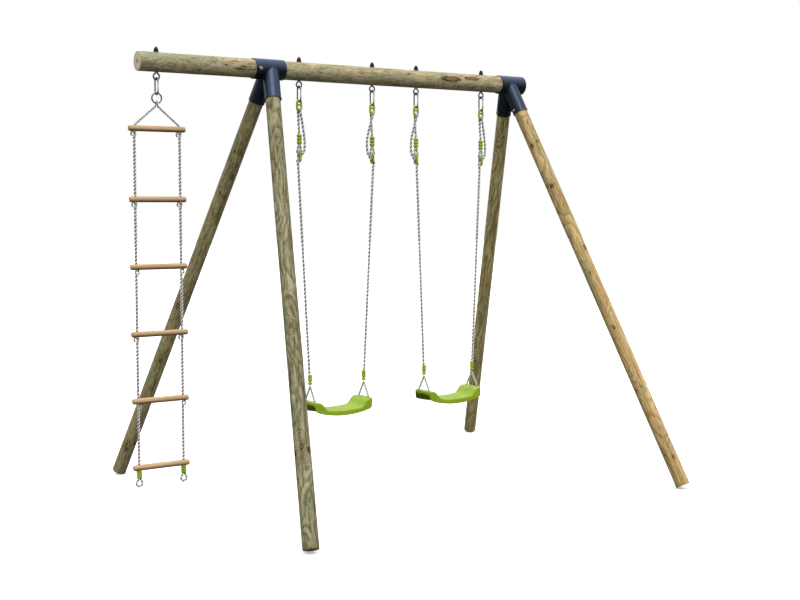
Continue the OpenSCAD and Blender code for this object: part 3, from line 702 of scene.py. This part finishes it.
for index, (node, looks) in enumerate(LOGS.items()):
    if node == "beam":
        radius = BEAM_R
        ends = vec(beam_low[0], BEAM_Y, BEAM_Z), vec(beam_high[0], BEAM_Y, BEAM_Z)
    else:
        radius = LEG_R
        ends = leg_line(node, -1 if "left" in node else 1, -1 if "front" in node else 1)
        leg_lines[node] = ends
    name = "log_" + node.removeprefix("leg_")
    finish = pine_log(name, radius, *looks, seed=index + 1.7)
    log_piece(name, node, *ends, radius, finish, sway=index * 1.3)

# ---- brackets and steel

powder = powder_material()
zinc = zinc_material("zinc", srgb(138, 140, 146), srgb(88, 90, 96))
gate_zinc = zinc_material("gate_zinc", srgb(248, 249, 252), srgb(226, 228, 232), 0.35)
screw_zinc = zinc_material("screw_zinc", srgb(214, 214, 212), srgb(170, 170, 168))
cap_black = cap_material()


def weld_bead(leg):
    """Rippled bead where a leg sleeve meets the beam sleeve."""
    top, foot = leg_lines[leg]
    run = unit(foot - top)
    a = unit(np.cross(run, (1, 0, 0)))
    b = np.cross(run, a)
    reach, r = BEAM_R + SLEEVE_GAP, LEG_R + SLEEVE_GAP
    path = []
    for angle in round_angles(120):
        p = top + r * (math.cos(angle) * a + math.sin(angle) * b)
        across = vec(p[1] - BEAM_Y, p[2] - BEAM_Z)
        slope = run[1:]
        square, linear, rest = slope @ slope, 2 * across @ slope, across @ across - reach**2
        root = math.sqrt(max(linear * linear - 4 * square * rest, 0))
        path.append(p + run * (-linear + root) / (2 * square))
    path = even_path(path + path[:1], 2 * MM)[:-1]
    ripple = 2.4 * MM * (1 + 0.16 * np.sin(np.arange(len(path)) * 1.9))
    shape = Shape()
    shape.tube(path, ripple, sides=10, loop=True)
    shape.piece(leg.replace("leg", "weld"), "frame", powder, "powder_coat")


for leg in leg_lines:
    weld_bead(leg)


def repaint(nodes, material):
    """Gives CAD meshes a procedural finish."""
    for node in nodes:
        mesh = NODES[node].data
        for index in range(len(mesh.materials)):
            mesh.materials[index] = material


repaint(["bracket_left", "bracket_right"], powder)
repaint(["leg_screws", "beam_screws"], screw_zinc)
repaint(["bolt_washers", "bolt_nuts", "ladder_ring"], zinc)
repaint(["nut_caps"], cap_black)
for name in SIDES:
    repaint([f"{name}_swing_{part}" for part in ("carabiners", "gate_pins")], zinc)
    repaint([f"{name}_swing_gate_{end}" for end in SIDES], gate_zinc)
repaint(["ladder_carabiner", "ladder_gate_pin"], zinc)
repaint(["ladder_gate"], gate_zinc)


def eye_bolt(shape, x):
    """Eye bent from wire, its shank through the beam."""
    eye_low = node_box("eye_bolts")[0][2]
    wire, bend = 4.5 * MM, 16 * MM
    centre = vec(x, BEAM_Y, eye_low + wire + bend)
    neck = vec(x, BEAM_Y, BEAM_Z - BEAM_R + 1 * MM)
    loop = arc(centre, bend, (1, 0, 0), UP, 64, -244, 31)
    path = [neck + vec(1.5 * MM, 0, 4 * MM)] + loop + [neck + vec(-1.5 * MM, 0, 4 * MM)]
    shape.tube(smooth_path(path, 1.5 * MM), wire, sides=16)
    rise = 2 * BEAM_R / MM
    collar = [(0, 0), (5.4, 0), (6.2, 1.2), (6.2, 4), (5, 5)]
    thread = [(5 - 0.6 * (k % 2), 5 + rise + k * 0.75) for k in range(14)]
    shank = collar + thread + [(4, 18 + rise), (0, 18 + rise)]
    shape.lathe(in_metres(shank), neck - vec(0, 0, 3 * MM), UP, sides=24)


joints = {joint["name"]: joint for joint in frame["joints"]}
ladder_x = node_box("ladder_ring")[2][0]
gate_xs = {
    name: [joints[f"{name}_swing_gate_{end}_hinge"]["pos_m"][0] for end in SIDES] for name in SIDES
}
eyes = Shape()
for x in [ladder_x] + gate_xs["left"] + gate_xs["right"]:
    eye_bolt(eyes, x)
eyes.piece("eye_bolts_bent", "frame", zinc, "zinc", ["eye_bolts"])

# ---- ropes

STRANDS = 2
STRAND_R = 0.56  # of the rope's radius
LAY_LOW = math.sqrt(STRAND_R**2 - (1 - STRAND_R) ** 2)  # in the groove between the strands
LAY_PITCH = 44 * MM
FINE_PITCH = 26 * MM
ROPE_R = 8 * MM
ROPE_SIDES = 18
BARREL_R = 12 * MM  # of a ferrule over the seat
HOLE_X, HOLE_Y = 0.175, 0.048  # a seat's rope holes, from its middle
# the last colour is the painted shade between yarns and strands
rope = rope_material("rope", srgb(255, 254, 252), srgb(244, 241, 238), srgb(30, 24, 24))


def lay(angles):
    """Radius of a two-strand rope of radius 1 at angles across its section."""
    off = np.mod(angles, 2 * math.pi / STRANDS) - math.pi / STRANDS
    reach = 1 - STRAND_R
    return reach * np.cos(off) + np.sqrt(np.maximum(STRAND_R**2 - (reach * np.sin(off)) ** 2, 0))


def rope_along(shape, points, radius, step=2.2 * MM, turn=0.0, pitch=LAY_PITCH):
    """Twisted rope along a path: two strands wound round each other."""
    path = smooth_path(points, step)
    _, side, up = carried_frames(path)
    angles = round_angles(ROPE_SIDES)
    lobes = lay(angles)
    run = distances(path)
    rings = []
    for p, s, u, at in zip(path, side, up, run):
        twisted = angles + turn + 2 * math.pi * at / pitch
        section = np.outer(lobes * np.cos(twisted), s) + np.outer(lobes * np.sin(twisted), u)
        rings.append(p + radius * section)
    # height over the groove between the strands; the rope material paints shade where it is low
    lift = np.tile((lobes - LAY_LOW) / (1 - LAY_LOW), (len(path), 1))
    shape.skin(rings, runs=run, lay=lift)


def knot(shape, centre, reach, radius):
    """Tight stop knot: the rope wraps round itself, then tucks in."""
    t = np.linspace(0, 1, 26)
    spin = 2 * math.pi * 1.75 * t
    out = (reach - radius) * np.sin(math.pi * np.clip(t, 0.06, 0.94)) ** 0.35
    rise = (reach - 0.55 * radius) * (1 - 2 * t)
    points = np.stack([out * np.cos(spin), out * np.sin(spin), rise], axis=1) + centre
    rope_along(shape, points, radius, step=2 * MM)


def loop_knot(shape, centre, side, radius):
    """Open overhand knot under a rung: one round turn, crossing itself in front."""
    hub = centre + vec(-side * 5 * MM, 0, 0)
    turn = arc(hub, 11 * MM, (side, 0, 0), UP, 70, -290, 19)
    slide = np.linspace(-6, 6, len(turn)) * MM
    points = [centre + vec(0, 0, 17 * MM)] + [p + vec(0, dy, 0) for p, dy in zip(turn, slide)]
    points += [centre + vec(2 * side * MM, 3 * MM, -4 * MM), centre + vec(0, 0, -20 * MM)]
    rope_along(shape, points, radius, step=2.4 * MM)


def fall_xs(name):
    """Where a swing's two ropes reach its seat, along X."""
    low, high, _ = node_box(f"{name}_swing_seat_ferrules")
    return {"left": low[0] + BARREL_R, "right": high[0] - BARREL_R}


def swing_rope(name, end_name):
    """One rope of a swing: spliced eye, link, slack loop, adjuster, long fall."""
    end = SIDES[end_name]
    x = gate_xs[name][0 if end < 0 else 1]
    bow = SIDES[name] * end
    link_low = node_box(f"{name}_swing_links")[0][2]
    ferrule_low, ferrule_high, _ = node_box(f"{name}_swing_end_ferrules")
    adjuster_low, adjuster_high, _ = node_box(f"{name}_swing_adjusters")
    fall_low = node_box(f"{name}_swing_seat_ferrules")[0]

    def at(dx, dy, z):
        return vec(x + dx * MM, BEAM_Y + dy * MM, z)

    bight = link_low + 6 * MM
    hole = adjuster_low[2] + 21 * MM
    splice = ferrule_low[2] + 10 * MM
    over_bar = arc(at(0, 0, bight), 11 * MM, (0, 1, 0), UP, 0, 180, 7)
    path = [at(0, 0, splice), at(0, 0, ferrule_high[2] + 8 * MM), at(0, 7, bight - 60 * MM)]
    path += over_bar
    path += [
        at(bow * 15, -6, bight - 60 * MM),
        at(bow * 29, 0, ferrule_high[2] + 4 * MM),
        at(bow * 34, 0, ferrule_low[2] + 10 * MM),
        at(bow * 31, 0, adjuster_high[2]),
        at(bow * 22, 0, hole + 29 * MM),
        at(bow * 11, 0, hole + 11 * MM),
        at(-bow * 11, 0, hole - 11 * MM),
        at(-bow * 10.5, 0, hole - 24 * MM),
        at(-bow * 7, 0, hole - 42 * MM),
    ]
    top = path[-1]
    foot = vec(fall_xs(name)[end_name], BEAM_Y, fall_low[2] + 1 * MM)
    path += [top + (foot - top) * share for share in (0.08, 0.3, 0.6, 0.9, 1)]
    shape = Shape()
    rope_along(shape, path, ROPE_R)
    under_bar = arc(at(0, 0, adjuster_high[2] - 6 * MM), 12 * MM, (1, 0, 0), UP, 180, 360, 9)
    neck = splice - 16 * MM
    eye = [at(-4, 0, splice), at(-4, 0, neck)] + under_bar + [at(4, 0, neck), at(4, 0, splice)]
    rope_along(shape, eye, ROPE_R, turn=1.0)
    node = f"{name}_swing_rope_{end_name}"
    shape.piece(f"{node}_laid", f"{name}_swing", rope, "rope", [node])


for name in SIDES:
    for end_name in SIDES:
        swing_rope(name, end_name)


def bridles(name):
    """Ropes from each seat ferrule to the two holes below it, knotted under the seat."""
    top = node_box(f"{name}_seat")[1][2]
    pivot = joints[f"{name}_seat_tilt"]["pos_m"][2]
    shape = Shape()
    for x in fall_xs(name).values():

        def at(dy, z):
            return vec(x, BEAM_Y + dy, z)

        side = [at(HOLE_Y, top - 24 * MM), at(HOLE_Y, top + 2 * MM), at(HOLE_Y - 3 * MM, top + 14 * MM),
                at(9 * MM, pivot - 19 * MM), at(4 * MM, pivot - 10 * MM)]
        other = [p * vec(1, -1, 1) + vec(0, 2 * BEAM_Y, 0) for p in side[::-1]]
        rope_along(shape, side + [at(0, pivot - 6 * MM)] + other, 7 * MM, pitch=FINE_PITCH)
        for j in (-1, 1):
            knot(shape, at(j * HOLE_Y, top - 20 * MM), 9.5 * MM, 4.4 * MM)
    shape.piece(f"{name}_seat_bridles_laid", f"{name}_seat", rope, "rope", [f"{name}_seat_bridles"])


# the last colour is the painted shade between yarns and strands
ladder_rope = rope_material("ladder_rope", srgb(255, 253, 250), srgb(242, 236, 232), srgb(34, 20, 18))
RUNGS = 6
LADDER_HALF = 123 * MM
LADDER_R = 8.2 * MM
LADDER_PITCH = 37 * MM
LADDER_KNOT_R = 5.4 * MM
KNOT_BELOW = 27.3 * MM


def ladder_top_rope(middle, rung_z):
    """The rope over the ring, down to both ends of the first rung."""
    bight = node_box("ladder_ring")[0][2] + 4 * MM
    left = [
        vec(-LADDER_HALF, 0, rung_z - 16 * MM),
        vec(-LADDER_HALF, 0, rung_z - 5 * MM),
        vec(-LADDER_HALF + 2 * MM, 0, rung_z + 12 * MM),
        vec(-LADDER_HALF + 13 * MM, 0, rung_z + 26 * MM),
        vec(-18 * MM, -6 * MM, bight - 23 * MM),
        vec(-8 * MM, -9.5 * MM, bight - 10 * MM),
    ]
    over = arc((0, 0, bight), 10.5 * MM, (0, -1, 0), UP, 0, 180, 7)
    right = [p * vec(-1, -1, 1) for p in left[::-1]]
    shape = Shape()
    rope_along(shape, [p + middle for p in left + over + right], 6.5 * MM, pitch=FINE_PITCH)
    for j in (-1, 1):
        knot_at = middle + vec(j * LADDER_HALF, 0, rung_z - KNOT_BELOW)
        loop_knot(shape, knot_at, 1, LADDER_KNOT_R)
    shape.piece("ladder_top_rope_laid", "ladder_section_1", ladder_rope, "rope", ["ladder_top_rope"])


def ladder_side_ropes(i, middle, above, here):
    """Both ropes from the knots over rung i down to its own knots, or to the last loops."""
    neck = node_box("ladder_end_ferrules")[0][2]
    is_last = i == RUNGS
    halfway, low_end = (neck, neck + 4 * MM) if is_last else (here, here - 14 * MM)
    shape = Shape()
    for j in (-1, 1):
        foot = middle + vec(j * LADDER_HALF, 0, 0)
        heights = above, (above + halfway) / 2, low_end
        rope_along(shape, [foot + vec(0, 0, z) for z in heights], LADDER_R, pitch=LADDER_PITCH)
        if is_last:
            loop = arc(foot + vec(0, 0, neck - 26 * MM), 16 * MM, (1, 0, 0), UP, 125, 415, 15)
            ends = [foot + vec(s * 3.5 * MM, 0, neck + 6 * MM) for s in (-1, 1)]
            loop = ends[:1] + loop + ends[1:]
            rope_along(shape, loop, LADDER_R - 1.5 * MM, pitch=LADDER_PITCH)
        else:
            loop_knot(shape, foot + vec(0, 0, here - KNOT_BELOW), (-1) ** i, LADDER_KNOT_R)
    node = f"ladder_ropes_{i}"
    shape.piece(f"{node}_laid", f"ladder_section_{i}", ladder_rope, "rope", [node])


def ladder_ropes():
    """The ladder's ropes, one piece per rung, so that the ladder folds at its knots."""
    rung_z = [node_box(f"ladder_rung_{i}")[2][2] for i in range(1, RUNGS + 1)]
    middle = vec(ladder_x, BEAM_Y, 0)
    ladder_top_rope(middle, rung_z[0])
    for i in range(2, RUNGS + 1):
        ladder_side_ropes(i, middle, rung_z[i - 2] - KNOT_BELOW - 10 * MM, rung_z[i - 1])


for name in SIDES:
    bridles(name)
ladder_ropes()

# ---- plastic fittings

fitting = plastic_material("fitting_green", (172, 196, 28), (154, 180, 20), (200, 216, 92), 900.0)


def link(shape, top, across):
    """Moulded link: a rounded slot with a bar across it. across is the unit vector of its width."""
    across, up = vec(*across), vec(*UP)
    bar, bend, length = 6 * MM, 13 * MM, 66 * MM
    centre_high, centre_low = top - up * (bar + bend), top - up * (length - bar - bend)
    outline = arc(centre_high, bend, across, up, 0, 180, 15)
    outline += arc(centre_low, bend, across, up, 180, 360, 15)
    outline = even_path(outline + outline[:1], 2.2 * MM)[:-1]
    shape.tube(outline, bar, sides=16, loop=True)
    mid = top - up * 28 * MM
    spread = np.linspace(-1, 1, 17)
    path = [mid + across * bend * s for s in spread]
    swell = bar * (1.0 + 0.35 * np.abs(spread) ** 4)
    shape.tube(path, swell, sides=14, round_ends=False)


END_R = 14  # millimetres, like the profiles


def end_profile(length, r):
    """Three rounded ribs with two grooves between them."""
    rows = [(0, 0), (r - 3, 0), (r - 1, 0.7)]
    rib = length / 3
    for k in range(3):
        for share in (0.09, 0.2, 0.35, 0.5, 0.65, 0.8, 0.91):
            rows.append((r - 4.4 * abs(2 * share - 1) ** 4, (k + share) * rib))
        if k < 2:
            rows += [(r - 5, (k + 0.96) * rib), (r - 5, (k + 1.04) * rib)]
    return rows + [(r - 1, length - 0.7), (r - 3, length), (0, length)]


def end_ferrule(shape, x, low, high):
    """Ribbed ferrule that closes a rope loop."""
    rows = end_profile((high[2] - low[2]) / MM, END_R)
    shape.lathe(in_metres(rows), vec(x, BEAM_Y, low[2]), UP)


BARREL = [
    (0, 0), (6, 0), (8.4, 1.2), (10.6, 4), (12.2, 7.4), (12.6, 9.2), (12.2, 11), (10.4, 14.2),
    (7.6, 16.4), (6.4, 17.4), (6.4, 18.4), (7.6, 19.4), (10.8, 20.6), (11.8, 22.4), (12, 24),
    (12, 36.6), (11.6, 37.8), (9.6, 38.6), (8.6, 39.3), (8.6, 40.3), (9.6, 41), (11.8, 41.8),
    (12, 43.4), (12, 53), (11.4, 55.4), (9.8, 56.8), (7, 57), (0, 57),
]

for name in SIDES:
    links, adjusters, ferrules, falls = Shape(), Shape(), Shape(), Shape()
    link_top = node_box(f"{name}_swing_links")[1][2]
    adjuster_top = node_box(f"{name}_swing_adjusters")[1][2]
    barrel_foot = node_box(f"{name}_swing_seat_ferrules")[0][2]
    low, high, _ = node_box(f"{name}_swing_end_ferrules")
    for x in gate_xs[name]:
        link(links, vec(x, BEAM_Y, link_top), (1, 0, 0))
        link(adjusters, vec(x, BEAM_Y, adjuster_top), (0, 1, 0))
        end_ferrule(ferrules, x, low, high)
    for x in fall_xs(name).values():
        falls.lathe(in_metres(BARREL), vec(x, BEAM_Y, barrel_foot), UP)
    for word, part in (("links", links), ("adjusters", adjusters),
                       ("end_ferrules", ferrules), ("seat_ferrules", falls)):
        node = f"{name}_swing_{word}"
        part.piece(f"{node}_moulded", f"{name}_swing", fitting, "fitting_green", [node], crease=50)

low, high, _ = node_box("ladder_end_ferrules")
ends = Shape()
for x in (low[0] + END_R * MM, high[0] - END_R * MM):
    end_ferrule(ends, x, low, high)
ends.piece("ladder_end_ferrules_moulded", "ladder_section_6", fitting, "fitting_green",
           ["ladder_end_ferrules"], crease=50)
rung_wood = rung_material()
repaint([f"ladder_rung_{i}" for i in range(1, RUNGS + 1)], rung_wood)

# ---- seats

seat_green = plastic_material("seat_green", (160, 190, 44), (148, 178, 34), (184, 208, 96), 620.0)
seat_low, seat_high, _ = node_box("left_seat")
SEAT_HALF = (seat_high[0] - seat_low[0]) / 2
SEAT_DEEP = (seat_high[1] - seat_low[1]) / 2
SEAT_CORNER = 0.034  # radius of a corner seen from above
SEAT_WALL = 0.004
EDGE = 0.0065  # radius of the rounding between top and skirt
LIP_FOOT = 0.065  # height of the skirt's foot at the ends
# Distances along the seat from its middle and heights there over its lowest edge, in millimetres.
TOP_LINE = ([0, 40, 80, 104, 117, 128, 138, 148, 160, 178, 195],
            [29, 30, 33, 36.6, 42, 53.5, 67, 76.5, 81, 82.8, 82.2])
KEEL_LINE = ([0, 40, 80, 120, 150, 165, 177, 185, 190, 195],
             [0, 1.3, 5.4, 12.1, 19.1, 23.4, 29, 35, 41, 48])


def seat_line(line, x):
    """Height over the seat's lowest edge at a distance x from its middle."""
    return hermite(line[0], line[1], np.abs(x) / MM) * MM


def seat_columns():
    """Distances along the seat for the top's columns, closer together round the corners."""
    corner = SEAT_HALF - SEAT_CORNER
    tight = SEAT_CORNER - EDGE
    flat = np.linspace(0, corner, 42)
    bend = corner + tight * np.sin(np.radians(np.linspace(9, 90, 10)))
    half = np.concatenate([flat, bend])
    return np.concatenate([-half[:0:-1], half])


def seat_top(xs, half):
    """Grid of points over the top: a hollow pan between two crowned ends. half is the half width at xs."""
    rows = np.linspace(-1, 1, 19)
    crown = 1.2 * MM * (1 - rows**2)
    on_end = np.clip((np.abs(xs) - 0.13) / 0.03, 0, 1)[:, None]
    grid = np.zeros((len(xs), len(rows), 3))
    grid[:, :, 0] = xs[:, None]
    grid[:, :, 1] = half[:, None] * rows
    grid[:, :, 2] = seat_line(TOP_LINE, xs)[:, None] + (on_end * crown - (1 - on_end) * crown * 1.5)
    return grid


def seat_skirt(rim):
    """Rings from the rim of the top down the outside, round the foot and up the inside."""
    corner = vec(SEAT_HALF - SEAT_CORNER, SEAT_DEEP - SEAT_CORNER)
    out = np.zeros_like(rim)
    for k, spot in enumerate(rim[:, :2]):
        out[k, :2] = unit(spot - np.clip(spot, -corner, corner))
    rings = []
    for a in np.radians([18, 36, 54, 72, 90]):
        rings.append(rim + out * (EDGE * math.sin(a)) - vec(0, 0, EDGE * (1 - math.cos(a))))
    outer = rings[-1]
    at_end = np.clip((np.abs(out[:, 0]) - 0.55) / 0.3, 0, 1)
    at_end = at_end * at_end * (3 - 2 * at_end)
    foot = seat_line(KEEL_LINE, outer[:, 0]) * (1 - at_end) + LIP_FOOT * at_end

    def ring(inset, heights):
        return np.column_stack([(outer - out * inset)[:, :2], heights])

    for share in (0.25, 0.5, 0.75, 0.93, 1.0):
        rings.append(ring(0, outer[:, 2] * (1 - share) + (foot + 1.2 * MM) * share))
    for inset, lift in ((0.5, 0.3), (1.6, 0), (3.0, 0.2), (SEAT_WALL / MM, 1.4)):
        rings.append(ring(inset * MM, foot + lift * MM))
    ceiling = rim[:, 2] - SEAT_WALL - 3 * MM
    for share in (0.5, 1.0):
        rings.append(ring(SEAT_WALL, (foot + 1.4 * MM) * (1 - share) + ceiling * share))
    return np.array(rings)


def seat_faces(n, m, edge, skirts):
    """Quads of the n by m top, of the ceiling under it, and of the skirt rings between their edges."""
    count = len(edge)
    last = n * m + skirts * count
    faces = []
    for i in range(n - 1):
        for j in range(m - 1):
            quad = (i * m + j, (i + 1) * m + j, (i + 1) * m + j + 1, i * m + j + 1)
            faces.append(quad)
            faces.append(tuple(last + v for v in quad[::-1]))
    rim = np.array([i * m + j for i, j in edge])
    loops = [rim] + [n * m + r * count + np.arange(count) for r in range(skirts)] + [last + rim]
    for upper, lower in zip(loops, loops[1:]):
        faces += np.stack([upper, lower, np.roll(lower, -1), np.roll(upper, -1)], axis=1).tolist()
    return faces


def seat(name):
    """Moulded shell: a dished pan between two raised ends, skirts all round, open underneath."""
    low, _, middle = node_box(f"{name}_seat")
    origin = vec(middle[0], middle[1], low[2])
    xs = seat_columns()
    tight = SEAT_CORNER - EDGE
    past = np.clip(np.abs(xs) - (SEAT_HALF - SEAT_CORNER), 0, tight)
    top = seat_top(xs, SEAT_DEEP - SEAT_CORNER + np.sqrt(tight**2 - past**2))
    n, m = top.shape[:2]
    edge = [(i, 0) for i in range(n)] + [(n - 1, j) for j in range(1, m)]
    edge += [(i, m - 1) for i in range(n - 2, -1, -1)] + [(0, j) for j in range(m - 2, 0, -1)]
    skirt = seat_skirt(np.array([top[i, j] for i, j in edge]))
    top, rings = top.reshape(-1, 3), skirt.reshape(-1, 3)
    points = np.vstack([top, rings, top - vec(0, 0, SEAT_WALL)]) + origin
    mesh = new_mesh(f"{name}_seat_moulded", points, seat_faces(n, m, edge, len(skirt)))
    mesh.shade_smooth()
    mesh.materials.append(seat_green)
    obj = add(f"{name}_seat_moulded", mesh)
    cut_rope_holes(obj, origin)
    place(obj, f"{name}_seat", [f"{name}_seat"])
    obj.data.set_sharp_from_angle(angle=math.radians(55))


def cut_rope_holes(obj, origin):
    """Cuts the four rope holes through the raised ends."""
    shape = Shape()
    for i in (-1, 1):
        for j in (-1, 1):
            foot = origin + vec(i * HOLE_X, j * HOLE_Y, 50 * MM)
            shape.lathe(in_metres([(0, 0), (6.5, 0), (6.5, 60), (0, 60)]), foot, UP, sides=28)
    cutter = add("hole_cutter", new_mesh("hole_cutter", np.vstack(shape.points), shape.faces))
    cut = obj.modifiers.new("holes", "BOOLEAN")
    cut.operation, cut.solver, cut.object = "DIFFERENCE", "EXACT", cutter
    bpy.context.view_layer.update()
    done = obj.evaluated_get(bpy.context.evaluated_depsgraph_get())
    obj.data = bpy.data.meshes.new_from_object(done)
    obj.modifiers.clear()
    bpy.data.objects.remove(cutter)


for name in SIDES:
    seat(name)

# ---- floor, light, camera

FLOOR_BOUNCE = srgb(80, 80, 80)
FLOOR_GLOW = srgb(255, 255, 255)


def floor():
    """Plain pale ground, far larger than the view; it throws back less light than it shows."""
    size, cuts, drop = 40.0, 8, 0.5 * MM
    steps = np.linspace(-size, size, cuts)
    points = [(x, y, -drop) for x in steps for y in steps]
    faces = [(i * cuts + j, (i + 1) * cuts + j, (i + 1) * cuts + j + 1, i * cuts + j + 1)
             for i in range(cuts - 1) for j in range(cuts - 1)]
    mesh = new_mesh("floor", points, faces)
    g = Graph("floor")
    tone = g.noise(g.position(), 0.6, 2.0)
    seen = g.node("LightPath", out=0)
    colour = g.mix(tone, srgb(252, 252, 252), srgb(248, 248, 249))
    mesh.materials.append(g.surface(
        Base_Color=g.mix(seen, FLOOR_BOUNCE, colour), Roughness=0.95, Specular_IOR_Level=0.05,
        Emission_Color=FLOOR_GLOW, Emission_Strength=g.times(seen, 0.3)))
    add("floor", mesh)


def backdrop(low, high):
    """White to the camera; lights the object as a soft overhead sky, low at the ground and high above."""
    g = Graph("studio", "worlds")
    height = g.part(g.node("TexCoord"), 2)
    sky = g.node("MapRange", height, -0.25, 0.85, low, high)
    strength = g.node("Mix", Factor=g.node("LightPath"), A=sky, B=1.0)
    g.node("OutputWorld", g.node("Background", (1, 1, 1, 1), strength))
    bpy.context.scene.world = g.owner


def sun(name, aim, power, angle, tint):
    """Soft directional light; aim is the direction it travels."""
    data = bpy.data.lights.new(name, "SUN")
    data.energy, data.angle, data.color = power, math.radians(angle), tint
    add(name, data).rotation_euler = Vector(aim).to_track_quat("-Z", "Y").to_euler()


def camera(place_at, yaw, pitch, lens):
    """yaw turns from +Y towards +X and pitch tips up, both in degrees."""
    yaw, pitch = math.radians(yaw), math.radians(pitch)
    level = math.cos(pitch)
    forward = Vector((math.sin(yaw) * level, math.cos(yaw) * level, math.sin(pitch)))
    data = bpy.data.cameras.new("camera")
    data.lens, data.sensor_width, data.sensor_fit = lens, 36, "HORIZONTAL"
    data.clip_end = 200
    obj = add("camera", data)
    obj.location = place_at
    obj.rotation_euler = forward.to_track_quat("-Z", "Y").to_euler()
    bpy.context.scene.camera = obj


floor()
backdrop(low=0.04, high=1.3)
sun("key", aim=(0.25, 0.75, -1.0), power=1.3, angle=40, tint=(1.0, 0.98, 0.94))
camera(place_at=(-4.0083, -6.1353, 1.5978), yaw=34.083, pitch=-4.234, lens=58.11)
bpy.context.scene.view_settings.view_transform = "Standard"
